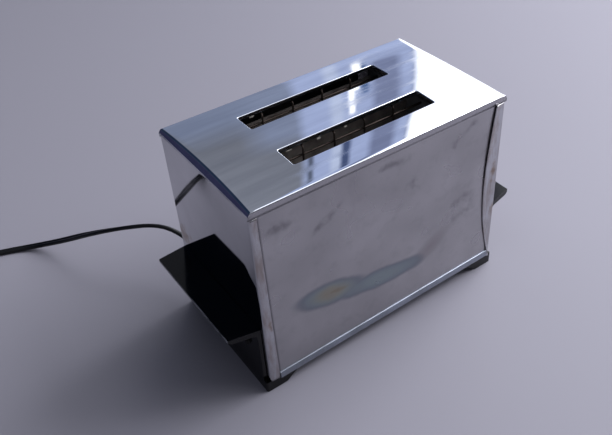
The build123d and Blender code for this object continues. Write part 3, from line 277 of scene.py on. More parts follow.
# Materials
NOISE = 500.0  # scale at which the noise has lumps about 1 mm across
FADED = 1.1  # a mark is gone this far out, in its own radii


def linear(colour):
    """sRGB hex to the linear colour that the shader takes."""
    values = [int(colour[k : k + 2], 16) / 255 for k in (1, 3, 5)]
    return [v / 12.92 if v <= 0.04045 else ((v + 0.055) / 1.055) ** 2.4 for v in values] + [1.0]


def add(tree, kind, sockets=None, stops=(), **settings):
    """Adds a node with its settings; a socket takes a value or another node's output, a ramp its stops."""
    made = tree.nodes.new(kind)
    for key, value in settings.items():
        setattr(made, key, value)
    for key, value in (sockets or {}).items():
        if isinstance(value, bpy.types.NodeSocket):
            tree.links.new(value, made.inputs[key])
        else:
            made.inputs[key].default_value = value
    for count, (spot, colour) in enumerate(stops):
        element = made.color_ramp.elements[count] if count < 2 else made.color_ramp.elements.new(spot)
        element.position = spot
        element.color = linear(colour) if isinstance(colour, str) else (colour, colour, colour, 1.0)
    return made


def finish_of(name):
    """New material: itself, its node tree, its shader and its Object coordinates."""
    material = bpy.data.materials.new(name)
    material.use_nodes = True
    tree = material.node_tree
    shader = tree.nodes["Principled BSDF"]
    return material, tree, shader, add(tree, "ShaderNodeTexCoord").outputs["Object"]


def clouded(tree, place, size_mm, stops, detail=5.0, rough=0.6):
    """Uneven tone: noise whose lumps are about size_mm across, laid over the stops."""
    sockets = {"Vector": place, "Scale": NOISE / size_mm, "Detail": detail, "Roughness": rough}
    lumps = add(tree, "ShaderNodeTexNoise", sockets).outputs["Fac"]
    return add(tree, "ShaderNodeValToRGB", {"Fac": lumps}, stops).outputs["Color"]


def grained(tree, place, size_mm, depth_mm, stretch=(1.0, 1.0, 1.0), detail=3.0):
    """Normal of a surface whose bumps are size_mm across and depth_mm deep, drawn out by stretch."""
    drawn = add(tree, "ShaderNodeMapping", {"Vector": place, "Scale": [1 / share for share in stretch]})
    sockets = {"Vector": drawn.outputs["Vector"], "Scale": NOISE / size_mm, "Detail": detail}
    lumps = add(tree, "ShaderNodeTexNoise", sockets).outputs["Fac"]
    return add(tree, "ShaderNodeBump", {"Height": lumps, "Distance": depth_mm * MM}).outputs["Normal"]


def away_from(tree, place, centre, radii, turn=0.0, ragged=0.5, ragged_mm=8.0):
    """Distance from a mark's centre in its own radii, so 1 is its outline, which wanders like a stain's."""
    centre, radii = ([value * MM for value in three] for three in (centre, radii))
    turned = (0.0, math.radians(turn), 0.0)
    sockets = {"Vector": place, "Location": centre, "Scale": radii, "Rotation": turned}
    own = add(tree, "ShaderNodeMapping", sockets, vector_type="TEXTURE").outputs["Vector"]
    reach = add(tree, "ShaderNodeVectorMath", {0: own}, operation="LENGTH").outputs["Value"]
    sockets = {"Vector": place, "Scale": NOISE / ragged_mm, "Detail": 4.0}
    lumps = add(tree, "ShaderNodeTexNoise", sockets).outputs["Fac"]
    sockets = {0: lumps, 1: 2 * ragged, 2: -ragged}
    wander = add(tree, "ShaderNodeMath", sockets, operation="MULTIPLY_ADD").outputs["Value"]
    return add(tree, "ShaderNodeMath", {0: reach, 1: wander}, operation="ADD").outputs["Value"]


def stained(tree, under, distance, stops, strength=1.0, full=0.55):
    """Lays a mark over the colour under it. It has its strength up to full and is gone a little outside
    its outline."""
    tint = add(tree, "ShaderNodeValToRGB", {"Fac": distance}, stops).outputs["Color"]
    sockets = {"Value": distance, 1: full, 2: FADED, 3: strength, 4: 0.0}
    edge = add(tree, "ShaderNodeMapRange", sockets, interpolation_type="SMOOTHSTEP")
    sockets = {0: edge.outputs["Result"], 6: under, 7: tint}
    return add(tree, "ShaderNodeMix", sockets, data_type="RGBA").outputs[2]


def beyond(tree, distance, span_mm):
    """0 up to the span's start, 1 from its end on."""
    start, full = (value * MM for value in span_mm)
    return add(tree, "ShaderNodeMapRange", {"Value": distance, 1: start, 2: full}).outputs["Result"]


def off_middle(tree, place, axis):
    """Distance from the middle plane across an axis."""
    along = add(tree, "ShaderNodeSeparateXYZ", {"Vector": place}).outputs[axis]
    return add(tree, "ShaderNodeMath", {0: along}, operation="ABSOLUTE").outputs["Value"]


def polished_chromium():
    """Bright chromium over nickel on pressed steel, as on the top: a mirror whose wiping marks run
    along the toaster, so what it reflects is drawn out into streaks. The skirts are scoured dull."""
    material, tree, shader, place = finish_of("Chromium plate polished")
    shader.inputs["Metallic"].default_value = 1.0
    sockets = {"Vector": place, "Rotation": (0.0, 0.0, math.radians(-5.0)), "Scale": (0.10, 1.0, 1.0)}
    streaks = add(tree, "ShaderNodeMapping", sockets).outputs["Vector"]
    skirt = beyond(tree, off_middle(tree, place, "Y"), SKIRT_SCOURED)
    tone = clouded(tree, streaks, 7.0, [(0.3, "#C4C7CF"), (0.5, "#D0D3DA"), (0.75, "#DDE0E6")], 3.0)
    tone = add(tree, "ShaderNodeMix", {0: skirt, 6: tone, 7: linear("#B2B0B3")}, data_type="RGBA").outputs[2]
    tree.links.new(tone, shader.inputs["Base Color"])
    haze = clouded(tree, streaks, 5.0, [(0.42, 0.015), (0.7, 0.12)], 3.0)
    rough = add(tree, "ShaderNodeMapRange", {"Value": skirt, 3: haze, 4: 0.24}).outputs["Result"]
    tree.links.new(rough, shader.inputs["Roughness"])
    tree.links.new(grained(tree, place, 14.0, 0.04, (9.0, 1.0, 1.0), 2.0), shader.inputs["Normal"])
    return material


def scoured_chromium():
    """Chromium dulled by scouring, as on the side sheets: a hazy satin with dark rubbed smudges. A long
    heat tint, straw in the middle and blue at its rim, is where a heater sits behind the front sheet."""
    material, tree, shader, place = finish_of("Chromium plate scoured")
    shader.inputs["Metallic"].default_value = 1.0
    tone = clouded(tree, place, 30.0, [(0.3, "#A9A7A9"), (0.7, "#BAB8BA")], 2.0)
    left, right, core, scorch, tail = (
        away_from(tree, place, *mark) for mark in (TINT_LEFT, TINT_RIGHT, TINT_CORE, TINT_SCORCH, TINT_TAIL)
    )
    tone = stained(tree, tone, tail, [(0.0, "#989294"), (1.0, "#A9A7A9")], 0.8)
    tint = add(tree, "ShaderNodeMath", {0: left, 1: right}, operation="MINIMUM").outputs["Value"]
    tone = stained(tree, tone, tint, [(0.3, "#939FA2"), (0.6, "#8C979D"), (0.9, "#7F848D")], 0.95, 0.72)
    tone = stained(tree, tone, core, [(0.2, "#A29D8E"), (0.8, "#9CA199")], 0.95, 0.3)
    tone = stained(tree, tone, scorch, [(0.0, "#8B7D67"), (1.0, "#9D9786")], 0.4)
    broken = clouded(tree, place, 10.0, [(0.42, 0.0), (0.6, 0.75)], 3.0)
    for centre, radii, turn in SMUDGES:
        smudge = away_from(tree, place, centre, radii, turn, 1.5, 9.0)
        tone = stained(tree, tone, smudge, [(0.0, "#7F7D80"), (1.0, "#A09EA1")], broken, 0.2)
    # Painted shade: a dark line on the sheet beside the left cap's flange, where shade falls between the
    # parts
    sockets = {0: place, 1: (-1.0, 0.0, -GAP_LEAN)}
    to_left = add(tree, "ShaderNodeVectorMath", sockets, operation="DOT_PRODUCT").outputs["Value"]
    gap_shade = beyond(tree, to_left, GAP_SHADE_LINE)
    tone = add(tree, "ShaderNodeMix", {0: gap_shade, 6: tone, 7: linear("#6A686C")}, data_type="RGBA").outputs[2]
    marks = clouded(tree, place, 7.0, [(0.52, 0.0), (0.78, 0.30)], 4.0, 0.6)
    tone = add(tree, "ShaderNodeMix", {0: marks, 6: tone, 7: linear("#8F8D90")}, data_type="RGBA").outputs[2]
    tree.links.new(tone, shader.inputs["Base Color"])
    tree.links.new(clouded(tree, place, 26.0, [(0.35, 0.26), (0.7, 0.37)], 1.5), shader.inputs["Roughness"])
    return material


def wiped_chromium():
    """Chromium of the end caps: a soft mirror on the end, satin and speckled brown where their narrow
    flanges have been rubbed on the sides, and rust where damp has sat in the corners."""
    material, tree, shader, place = finish_of("Chromium plate wiped")
    shader.inputs["Metallic"].default_value = 1.0
    tone = clouded(tree, place, 22.0, [(0.3, "#BCBCC0"), (0.7, "#CACACE")])
    drawn = add(tree, "ShaderNodeMapping", {"Vector": place, "Scale": (1.0, 1.0, 0.18)}).outputs["Vector"]
    rubbed = clouded(tree, drawn, 3.5, [(0.42, 0.0), (0.64, 0.75)], 5.0, 0.7)
    flange = beyond(tree, off_middle(tree, place, "Y"), FLANGE_RUBBED)
    rubbed = add(tree, "ShaderNodeMath", {0: rubbed, 1: flange}, operation="MULTIPLY").outputs["Value"]
    tone = add(tree, "ShaderNodeMix", {0: rubbed, 6: tone, 7: linear("#958880")}, data_type="RGBA").outputs[2]
    for centre, radii in RUST_SPOTS:
        rust = away_from(tree, place, centre, radii, 0.0, 1.2, 3.0)
        tone = stained(tree, tone, rust, [(0.0, "#846B55"), (0.6, "#957F69"), (1.0, "#A3968B")], 0.75, 0.0)
    tree.links.new(tone, shader.inputs["Base Color"])
    haze = clouded(tree, place, 20.0, [(0.35, 0.025), (0.7, 0.06)], 1.5)
    rough = add(tree, "ShaderNodeMapRange", {"Value": flange, 3: haze, 4: 0.27}).outputs["Result"]
    tree.links.new(rough, shader.inputs["Roughness"])
    tree.links.new(grained(tree, place, 30.0, 0.04, detail=1.0), shader.inputs["Normal"])
    return material


def moulded_phenolic():
    """Black phenolic, compression moulded: glossy, with dust and fine rub marks in its polish, and grey
    along the shelves' outer edges, painted there for their wear and for a highlight along the edge."""
    material, tree, shader, place = finish_of("Phenolic moulded black")
    shader.inputs["Specular IOR Level"].default_value = 0.28
    tone = clouded(tree, place, 2.2, [(0.58, "#060506"), (0.9, "#171617")], 6.0, 0.75)
    # Grey line on the shelves' outer edges: their wear, and a painted highlight along the edge
    edge = beyond(tree, off_middle(tree, place, "X"), SHELF_WEAR_AND_HIGHLIGHT)
    wear_and_highlight = clouded(tree, place, 9.0, [(0.4, 0.15), (0.6, 0.9)])
    wear_and_highlight = add(tree, "ShaderNodeMath", {0: edge, 1: wear_and_highlight}, operation="MULTIPLY").outputs["Value"]
    tone = add(tree, "ShaderNodeMix", {0: wear_and_highlight, 6: tone, 7: linear("#8E8F97")}, data_type="RGBA").outputs[2]
    tree.links.new(tone, shader.inputs["Base Color"])
    haze = clouded(tree, place, 12.0, [(0.35, 0.08), (0.75, 0.20)], 6.0, 0.7)
    tree.links.new(haze, shader.inputs["Roughness"])
    tree.links.new(grained(tree, place, 18.0, 0.02), shader.inputs["Normal"])
    return material


def plain(name, colour, darker, size_mm, metallic, roughness, bump_mm=0.01):
    """One finish with cloudy colour between two tones, a roughness that varies and a fine grain."""
    material, tree, shader, place = finish_of(name)
    tree.links.new(clouded(tree, place, size_mm, [(0.3, darker), (0.7, colour)]), shader.inputs["Base Color"])
    shader.inputs["Metallic"].default_value = metallic
    rough = clouded(tree, place, size_mm / 2, [(0.3, roughness * 0.8), (0.7, roughness * 1.2)])
    tree.links.new(rough, shader.inputs["Roughness"])
    tree.links.new(grained(tree, place, size_mm / 4, bump_mm), shader.inputs["Normal"])
    return material


top_plate = polished_chromium()
end_plate = wiped_chromium()
side_plate = scoured_chromium()
hem_plate = plain("Chromium plate dulled", "#AEB4C0", "#92979F", 12.0, 1.0, 0.42)
black_phenolic = moulded_phenolic()
guard_steel = plain("Steel wire browned by heat", "#62574F", "#3C332E", 6.0, 0.8, 0.5)
frame_steel = plain("Zinc plated steel", "#CBCDD2", "#9C9DA0", 25.0, 0.7, 0.42)
mica_sheet = plain("Mica sheet", "#BDB3AB", "#7E746D", 8.0, 0.0, 0.35)
heater_alloy = plain("Nickel chromium ribbon oxidised", "#948A82", "#5A524D", 5.0, 0.7, 0.5)
steatite = plain("Steatite glazed", "#E6E0D2", "#CFC7B6", 10.0, 0.0, 0.25)
brass = plain("Brass tarnished", "#B08D4A", "#7D6231", 8.0, 1.0, 0.35)
fibre_board = plain("Vulcanised fibre", "#5B2F28", "#41211C", 3.0, 0.0, 0.6)
lead_vinyl = plain("Vinyl extruded black", "#121214", "#0B0B0D", 9.0, 0.0, 0.34)
lead_vinyl.node_tree.nodes["Principled BSDF"].inputs["Specular IOR Level"].default_value = 0.3
black_screw = plain("Steel oil blackened", "#1A1918", "#100F0F", 3.0, 0.6, 0.4)
nickel_screw = plain("Nickel plated steel", "#C4C0B8", "#8F8A80", 3.0, 1.0, 0.28)


# Mains lead: one spline, read back as the line that the flat twin follows
def coil_points():
    """Control points of the coil: half turns that spiral in, climb one layer and spiral out again."""
    last, before = Vector(LEAD_ROUTE[-1]), Vector(LEAD_ROUTE[-2])
    along = (last - before).normalized()
    across = Vector((along.y, -along.x, 0.0))
    middle = last - across * COIL_RADIUS + along * COIL_START
    radii = [COIL_RADIUS - COIL_STEP * k for k in range(4)]
    places = [(radii[0], 0.0), (-radii[1], 0.0), (radii[2], 0.0), (-radii[3], 0.0)]
    places += [(radii[3], COIL_RISE), (-radii[2], COIL_RISE), (radii[1], COIL_RISE)]
    points = []
    for k, ((a, low), (b, high)) in enumerate(zip(places, places[1:])):
        for step in range(HALF_TURN_POINTS):
            turn = math.pi * (step + 0.5) / HALF_TURN_POINTS
            out = (a + b) / 2 + (a - b) / 2 * math.cos(turn)
            reach = abs(a - b) / 2 * math.sin(turn) * (1 if k % 2 == 0 else -1)
            height = low + (high - low) * (1 - math.cos(turn)) / 2
            points.append(middle + across * out + along * reach + Vector((0, 0, height)))
    end = middle + across * places[-1][0]
    for share in (0.0, 0.35, 0.7, 1.0):
        lift = COIL_RISE + (PLUG_HEIGHT - last.z - COIL_RISE) * share**COIL_TAIL_LIFT
        points.append(end + along * (COIL_TAIL * share) + Vector((0, 0, lift)))
    return points


control = [Vector(point) for point in LEAD_ROUTE] + coil_points()
line = bpy.data.curves.new("lead_line", "CURVE")
line.dimensions = "3D"
line.resolution_u = 6
spline = line.splines.new("NURBS")
spline.points.add(len(control) - 1)
spline.points.foreach_set("co", np.array([[*point * MM, 1.0] for point in control]).ravel())
spline.order_u = 3
spline.use_endpoint_u = True
line_object = bpy.data.objects.new("lead_line", line)
bpy.context.scene.collection.objects.link(line_object)
bpy.context.view_layer.update()
line_mesh = bpy.data.meshes.new_from_object(line_object)
route = np.array([vertex.co[:] for vertex in line_mesh.vertices]) / MM
bpy.data.objects.remove(line_object)


def unit(vectors):
    """Vectors scaled to length 1."""
    return vectors / np.linalg.norm(vectors, axis=-1, keepdims=True)


def twin_section(count):
    """Two round cores side by side whose groove is filled to a shallow valley, from polar angles."""
    turn = np.arange(count) * 2 * np.pi / count
    core = LEAD_THICK / 2
    offset = LEAD_WIDTH / 2 - core
    radius = offset * np.abs(np.cos(turn)) + np.sqrt(core**2 - (offset * np.sin(turn)) ** 2)
    wide, thick = radius * np.cos(turn), radius * np.sin(turn)
    valley = np.where(np.abs(wide) < offset, LEAD_VALLEY * core, 0.0)
    thick = np.sign(thick) * np.maximum(np.abs(thick), valley)
    return wide, thick


def flat_lead(path):
    """Carries the twin section along the path: leaning at the exit, turning over and flat on the floor."""
    along = unit(np.gradient(path, axis=0))
    up = unit(np.array([0.0, 0.0, 1.0]) - along * along[:, 2:3])
    side = np.cross(along, up)
    travelled = np.concatenate([[0.0], np.cumsum(np.linalg.norm(np.diff(path, axis=0), axis=1))])
    twist = np.radians(np.interp(travelled, LEAD_TURNS[0], LEAD_TURNS[1]))
    width_way = side * np.cos(twist)[:, None] + up * np.sin(twist)[:, None]
    thick_way = np.cross(width_way, along)
    wide, thick = twin_section(36)
    rings = path[:, None] + width_way[:, None] * wide[:, None] + thick_way[:, None] * thick[:, None]
    count = len(wide)
    points = np.concatenate([path[:1] + 0 * rings[0], rings.reshape(-1, 3), path[-1:] + 0 * rings[-1]])
    return points, grid_faces(len(path) + 2, count, close_columns=True)[:, ::-1]


lead = piece("mains_lead_twin", [flat_lead(route)], lead_vinyl, slot="black_rubber", smooth_angle=60.0)
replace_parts(lead, "mains_lead", "lead_coil")


# Top of the case
def crown_height(y):
    """Arched top: a circle through both long edges and the crown."""
    return LONG_EDGE + CROWN - CROWN_RADIUS + np.sqrt(CROWN_RADIUS**2 - y**2)


def spread(*marks):
    """Numbers from (start, stop, steps) spans, joined end to end."""
    parts = [np.linspace(a, b, n, endpoint=False) for a, b, n in marks]
    return np.concatenate(parts + [[marks[-1][1]]])


def top_rows():
    """Line across the top in y and z: front skirt, bend, crown with the slots' lines, and mirrored."""
    bend_y = SIDE - EDGE_BEND
    bend_z = LONG_EDGE + CROWN - CROWN_RADIUS + math.sqrt((CROWN_RADIUS - EDGE_BEND) ** 2 - bend_y**2)
    tilt = math.atan2(bend_y, CROWN_RADIUS)
    skirt = np.concatenate([[SKIRT_FOOT], END_LIP_FOOT + (bend_z - END_LIP_FOOT) * LIP_STEPS])
    turn = np.linspace(0, math.pi / 2 - tilt, 6)[1:]
    edge_y = bend_y + EDGE_BEND * np.cos(turn)
    edge_z = bend_z + EDGE_BEND * np.sin(turn)
    core = SLOT_HALF_WIDTH - SLOT_CORNER
    ring = SLOT_HALF_WIDTH + SLOT_MARGIN
    middle = SLOT_MIDDLE
    crown = spread(
        (edge_y[-1], middle + ring, 10),
        (middle + ring, middle + core, 5),
        (middle + core, middle - core, 8),
        (middle - core, middle - ring, 5),
        (middle - ring, 0.0, 7),
    )[1:]
    y = np.concatenate([np.full(len(skirt), SIDE), edge_y, crown])
    z = np.concatenate([skirt, edge_z, crown_height(crown)])
    return np.concatenate([-y, y[-2::-1]]), np.concatenate([z, z[-2::-1]]), len(skirt)


def end_reach(y, z):
    """How far out the top's end stands: a small roll below the crown that runs into a straight slope down
    to the lip's level foot, so the lip is low at both corners and high in the middle."""
    slope = math.radians(END_SLOPE)
    roll_middle = crown_height(y) - END_ROLL
    roll_end = roll_middle + END_ROLL * math.cos(slope)
    straight = (np.clip(z, END_LIP_FOOT, roll_end) - END_LIP_FOOT) / math.tan(slope)
    rise = np.clip((z - roll_middle) / END_ROLL, math.cos(slope), 1.0)
    run = straight + END_ROLL * (math.sin(slope) - np.sqrt(1 - rise**2))
    return BODY_HALF - run


def slot_ring(columns, rows, middle):
    """Ring round a slot: its outer loop is the top's own mesh lines, its inner loops turn down the lip.
    A point's distance from the slot's core rectangle shrinks from loop to loop, which rounds the corners."""
    west, east = -SLOT_HALF - SLOT_MARGIN, SLOT_HALF + SLOT_MARGIN
    south, north = middle - SLOT_HALF_WIDTH - SLOT_MARGIN, middle + SLOT_HALF_WIDTH + SLOT_MARGIN
    x = columns[(columns > west - NEAR) & (columns < east + NEAR)]
    y = rows[(rows > south - NEAR) & (rows < north + NEAR)]
    outline = np.concatenate(
        [
            np.stack([x[:-1], np.full(len(x) - 1, south)], -1),
            np.stack([np.full(len(y) - 1, east), y[:-1]], -1),
            np.stack([x[:0:-1], np.full(len(x) - 1, north)], -1),
            np.stack([np.full(len(y) - 1, west), y[:0:-1]], -1),
        ]
    )
    core_x, core_y = SLOT_HALF - SLOT_CORNER, SLOT_HALF_WIDTH - SLOT_CORNER
    nearest_x = np.clip(outline[:, 0], -core_x, core_x)
    nearest_y = middle + np.clip(outline[:, 1] - middle, -core_y, core_y)
    core = np.stack([nearest_x, nearest_y], -1)
    away = outline - core
    distance = np.linalg.norm(away, axis=1)
    way = away / distance[:, None]
    bend_start = SLOT_CORNER + SLOT_RIM
    turn = np.linspace(0, np.pi / 2, 7)
    loops = []
    for share in (0.0, 0.5, 0.95):
        loops.append((distance + (bend_start - distance) * share, 0.0))
    for angle in turn:
        reach = np.full(len(distance), bend_start - SLOT_RIM * np.sin(angle))
        loops.append((reach, SLOT_RIM * (1 - np.cos(angle))))
    points = []
    for reach, drop in loops:
        flat = core + way * reach[:, None]
        points.append(np.column_stack([flat, crown_height(flat[:, 1]) - drop]))
    rim_foot = points[-1]
    for share in (0.5, 1.0):
        height = rim_foot[:, 2] + (SLOT_LIP_FOOT - rim_foot[:, 2]) * share
        points.append(np.column_stack([rim_foot[:, :2], height]))
    grid = np.array(points)
    return grid.reshape(-1, 3), grid_faces(len(grid), grid.shape[1], close_columns=True)


def top_shell_patches():
    """The crowned top with its skirts, both slot rings and both rolled ends."""
    y, z, skirt_rows = top_rows()
    ring_x = SLOT_HALF + SLOT_MARGIN
    core_x = SLOT_HALF - SLOT_CORNER
    fixed = spread((-ring_x, -core_x, 5), (-core_x, core_x, 44), (core_x, ring_x, 5))
    outer = np.linspace(0, 1, 13)[:-1]
    end = end_reach(y, z)
    left = -end[:, None] + (end[:, None] - ring_x) * outer
    columns = np.concatenate([left, np.tile(fixed, (len(y), 1)), -left[:, ::-1]], axis=1)
    count = columns.shape[1]
    points = np.stack([columns, np.tile(y[:, None], (1, count)), np.tile(z[:, None], (1, count))], -1)
    faces = grid_faces(len(y), count)
    middle = points.reshape(-1, 3)[faces].mean(axis=1)
    inside = np.zeros(len(faces), bool)
    for slot_middle in (-SLOT_MIDDLE, SLOT_MIDDLE):
        close = np.abs(middle[:, 1] - slot_middle) < SLOT_HALF_WIDTH + SLOT_MARGIN
        inside |= close & (np.abs(middle[:, 0]) < ring_x)
    patches = [(points.reshape(-1, 3), faces[~inside])]
    for slot_middle in (-SLOT_MIDDLE, SLOT_MIDDLE):
        patches.append(slot_ring(fixed, y, slot_middle))
    rows = slice(skirt_rows - 1, len(y) - skirt_rows + 1)
    roll_z = END_LIP_FOOT + (z[rows][:, None] - END_LIP_FOOT) * LIP_STEPS[::-1]
    roll_y = np.tile(y[rows][:, None], (1, roll_z.shape[1]))
    roll = np.stack([end_reach(roll_y, roll_z), roll_y, roll_z], -1)
    faces = grid_faces(*roll.shape[:2])
    patches.append((roll.reshape(-1, 3), faces))
    patches.append((roll.reshape(-1, 3) * (-1, 1, 1), faces[:, ::-1]))
    return patches


CASE_SHEET = {"slot": "plated_case", "thickness": SHEET}
top = piece("top_shell_plate", top_shell_patches(), top_plate, smooth_angle=50.0, **CASE_SHEET)
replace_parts(top, "top_shell")


# Side panels
def panel_patch(side):
    """Flat side sheet, pressed out a hair between its edges by a half wave each way, with a faint ripple;
    side is -1 in front and 1 behind."""
    x = np.linspace(-PANEL_HALF, PANEL_HALF, 61)
    z = np.linspace(PANEL_FOOT, PANEL_TOP, 41)
    x, z = np.meshgrid(x, z)
    height = (z - CASE_FOOT) / (PANEL_TOP - CASE_FOOT)
    swell = PANEL_SWELL * np.cos(x / PANEL_HALF * np.pi / 2) * np.sin(height * np.pi)
    ripple = PANEL_RIPPLE * np.sin(x / RIPPLE_LONG + 1.0) * np.sin(z / RIPPLE_HIGH)
    y = side * (PANEL_FACE + swell + ripple - PANEL_SETBACK)
    faces = grid_faces(*x.shape)
    return np.stack([x, y, z], -1).reshape(-1, 3), faces if side < 0 else faces[:, ::-1]


def hem_patch(side, right_end):
    """Sheet edge folded back on itself: a flat bead with round edges, a circle whose sine and cosine are
    pulled out to the bead's flat sides. It flares a little to its foot and rises to the right."""
    turn = np.linspace(0, 2 * np.pi, 48, endpoint=False)
    square_z, square_y = (np.clip(way(turn) * HEM_SQUARE, -1, 1) for way in (np.sin, np.cos))
    wave_z = square_z * (HEM_HEIGHT / 2 - HEM_EDGE) + HEM_EDGE * np.sin(turn)
    wave_y = square_y * (HEM_THICK / 2 - HEM_EDGE) + HEM_EDGE * np.cos(turn)
    wave_y = wave_y + HEM_FLARE * (0.5 - wave_z / HEM_HEIGHT)
    middle_y = PANEL_FACE - SHEET + HEM_THICK / 2
    x = np.linspace(-HEM_HALF, right_end, 25)
    count = len(turn)
    ring = np.stack([0 * wave_y, side * (middle_y + wave_y), HEM_FOOT + HEM_HEIGHT / 2 + wave_z], -1)
    line = np.stack([x, 0 * x, HEM_RISE * (x + HEM_HALF) / (2 * HEM_HALF)], -1)
    grid = line[:, None] + ring
    ends = grid[[0, -1]].mean(axis=1, keepdims=True).repeat(count, axis=1)
    grid = np.concatenate([ends[:1], grid, ends[1:]])
    faces = grid_faces(len(grid), count, close_columns=True)
    return grid.reshape(-1, 3), faces if side > 0 else faces[:, ::-1]


for side, place, right_end in ((-1, "front", HEM_RIGHT), (1, "rear", HEM_HALF)):
    sheet = piece(f"{place}_panel_sheet", [panel_patch(side)], side_plate, **CASE_SHEET)
    hem = piece(f"{place}_panel_hem", [hem_patch(side, right_end)], hem_plate, slot="plated_case")
    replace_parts(sheet, f"{place}_side_panel")
    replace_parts(hem, f"{place}_side_panel")


# End caps
def straight_edge(z):
    """Free edge of a flange: a straight line that leans in towards the foot."""
    low, high = FLANGE_EDGE
    return low + (high - low) * (z - CASE_FOOT) / (FLANGE_TOP - CASE_FOOT)


def sprung_edge(z):
    """Free edge of the flange that has sprung open: one smooth bow through the seam's places."""
    marks = np.array(SPRUNG_EDGE)
    return np.polyval(np.polyfit(marks[:, 1], marks[:, 0], 3), z)


def cap_patch(front_edge, bow, lever_slot):
    """End cap at +x: front flange, round corner, slightly hollow web, and the same behind; the web turns
    in under the top's lip."""
    slot_half, slot_low, slot_high = LEVER_SLOT
    web_top = FLANGE_TOP + WEB_RISE
    z = spread(
        (CASE_FOOT, slot_low, 30),
        (slot_low, slot_high, 24),
        (slot_high, FLANGE_TOP, 12),
        (FLANGE_TOP, web_top, 2),
    )
    web_half = SIDE - CAP_CORNER
    web_y = spread((-web_half, -slot_half, 26), (-slot_half, slot_half, 2), (slot_half, web_half, 26))
    fall = (-web_y - SHOULDER_START) / (SHOULDER_FULL - SHOULDER_START)
    shoulder = WEB_SHOULDER * np.clip(fall, 0, 1) ** 2
    web_x = BODY_HALF - WEB_HOLLOW + WEB_HOLLOW * (web_y / SIDE) ** 2 - shoulder
    turn = np.linspace(-np.pi / 2, 0, 9)[:-1]
    corner_x = web_x[0] - CAP_CORNER + CAP_CORNER * np.cos(turn)
    corner_y = CAP_CORNER - SIDE + CAP_CORNER * np.sin(turn)
    share = np.linspace(0, 1, 13)[:-1]
    rows = []
    for edge, lift in ((front_edge(z), bow(z)), (straight_edge(z), 0 * z)):
        flange_x = edge[:, None] + (corner_x[0] - edge[:, None]) * share
        flange_y = -SIDE - lift[:, None] * (1 - share) ** 2
        rows.append((flange_x, flange_y + 0 * flange_x))
    (front_x, front_y), (back_x, back_y) = rows
    round_x = np.concatenate([corner_x, web_x, corner_x[::-1]])
    round_y = np.concatenate([corner_y, web_y, -corner_y[::-1]])
    wide = np.ones((len(z), 1))
    x = np.concatenate([front_x, wide * round_x, back_x[:, ::-1]], axis=1)
    y = np.concatenate([front_y, wide * round_y, -back_y[:, ::-1]], axis=1)
    points = np.stack([x, y, np.tile(z[:, None], (1, x.shape[1]))], -1)
    turn = np.linspace(0, np.pi / 2, 7)[1:]
    inward = np.concatenate([WEB_BEND * (1 - np.cos(turn)), [WEB_SHELF]])
    upward = np.concatenate([WEB_BEND * np.sin(turn), [WEB_BEND]])
    turned = points[-1] - inward[:, None, None] * (1.0, 0.0, 0.0) + upward[:, None, None] * (0.0, 0.0, 1.0)
    points = np.concatenate([points, turned])
    faces = grid_faces(*points.shape[:2])
    middle = points.reshape(-1, 3)[faces].mean(axis=1)
    drop = (middle[:, 2] > FLANGE_TOP) & (np.abs(middle[:, 1]) > SIDE - CORNER_CUT)
    if lever_slot:
        tall = (middle[:, 2] > slot_low) & (middle[:, 2] < slot_high)
        drop |= tall & (np.abs(middle[:, 1]) < slot_half) & (middle[:, 0] > BODY_HALF - WEB_REACH)
    return points.reshape(-1, 3), faces[~drop]


def no_bow(z):
    """A flange that lies flat."""
    return 0 * z


def sprung_bow(z):
    """How far the sprung flange stands off the panel: a bell curve, most near its top."""
    bell = np.exp(-(((z - SPRUNG_HEIGHT) / SPRUNG_SPREAD) ** 2))
    return SPRUNG_LEAST + (SPRUNG_MOST - SPRUNG_LEAST) * bell


points, faces = cap_patch(straight_edge, no_bow, False)
mirrored = (points * (-1, 1, 1), faces[:, ::-1])
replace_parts(piece("left_cap_plate", [mirrored], end_plate, **CASE_SHEET), "left_end_cap")
sprung = cap_patch(sprung_edge, sprung_bow, True)
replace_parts(piece("right_cap_plate", [sprung], end_plate, **CASE_SHEET), "right_end_cap")


# Guard wires
def tube(path, radius, across, sides=10):
    """Round rod along a path that lies in the plane square to across: a circle carried by its tangent."""
    path = np.asarray(path, float)
    along = unit(np.gradient(path, axis=0))
    turn = np.arange(sides) * 2 * np.pi / sides
    second = np.cross(along, across)
    rings = path[:, None] + radius * (
        np.cos(turn)[:, None] * np.asarray(across, float) + np.sin(turn)[:, None] * second[:, None]
    )
    first, last = (np.tile(path[end], (sides, 1)) for end in (0, -1))
    points = np.concatenate([first, rings.reshape(-1, 3), last])
    return points, grid_faces(len(path) + 2, sides, close_columns=True)


def hooked_wire(x, line_y, away, low, high):
    """Straight up from the foot, a quarter bend away from the bread, then level to the hook's end."""
    turn = np.linspace(0, np.pi / 2, 7)
    bend_y = line_y + away * WIRE_BEND * (1 - np.cos(turn))
    bend_z = high - WIRE_BEND + WIRE_BEND * np.sin(turn)
    y = np.concatenate([[line_y, line_y], bend_y, [line_y + away * WIRE_HOOK]])
    z = np.concatenate([[low, high - 2 * WIRE_BEND], bend_z, [high]])
    return tube(np.column_stack([np.full(len(y), x), y, z]), WIRE, (1.0, 0.0, 0.0))


def guard_rails(node, line_y, away):
    """Both level rails behind the wires, at the heights of the solid's own rails."""
    low, high = (np.array(corner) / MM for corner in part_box(node))
    rail_y = line_y + away * (WIRE + RAIL - RAIL_SINK)
    rails = [
        tube([(low[0], rail_y, z), (0.0, rail_y, z), (high[0], rail_y, z)], RAIL, (0.0, 1.0, 0.0))
        for z in (RAIL_LOW, RAIL_HIGH)
    ]
    return rails, low[2], high[2]


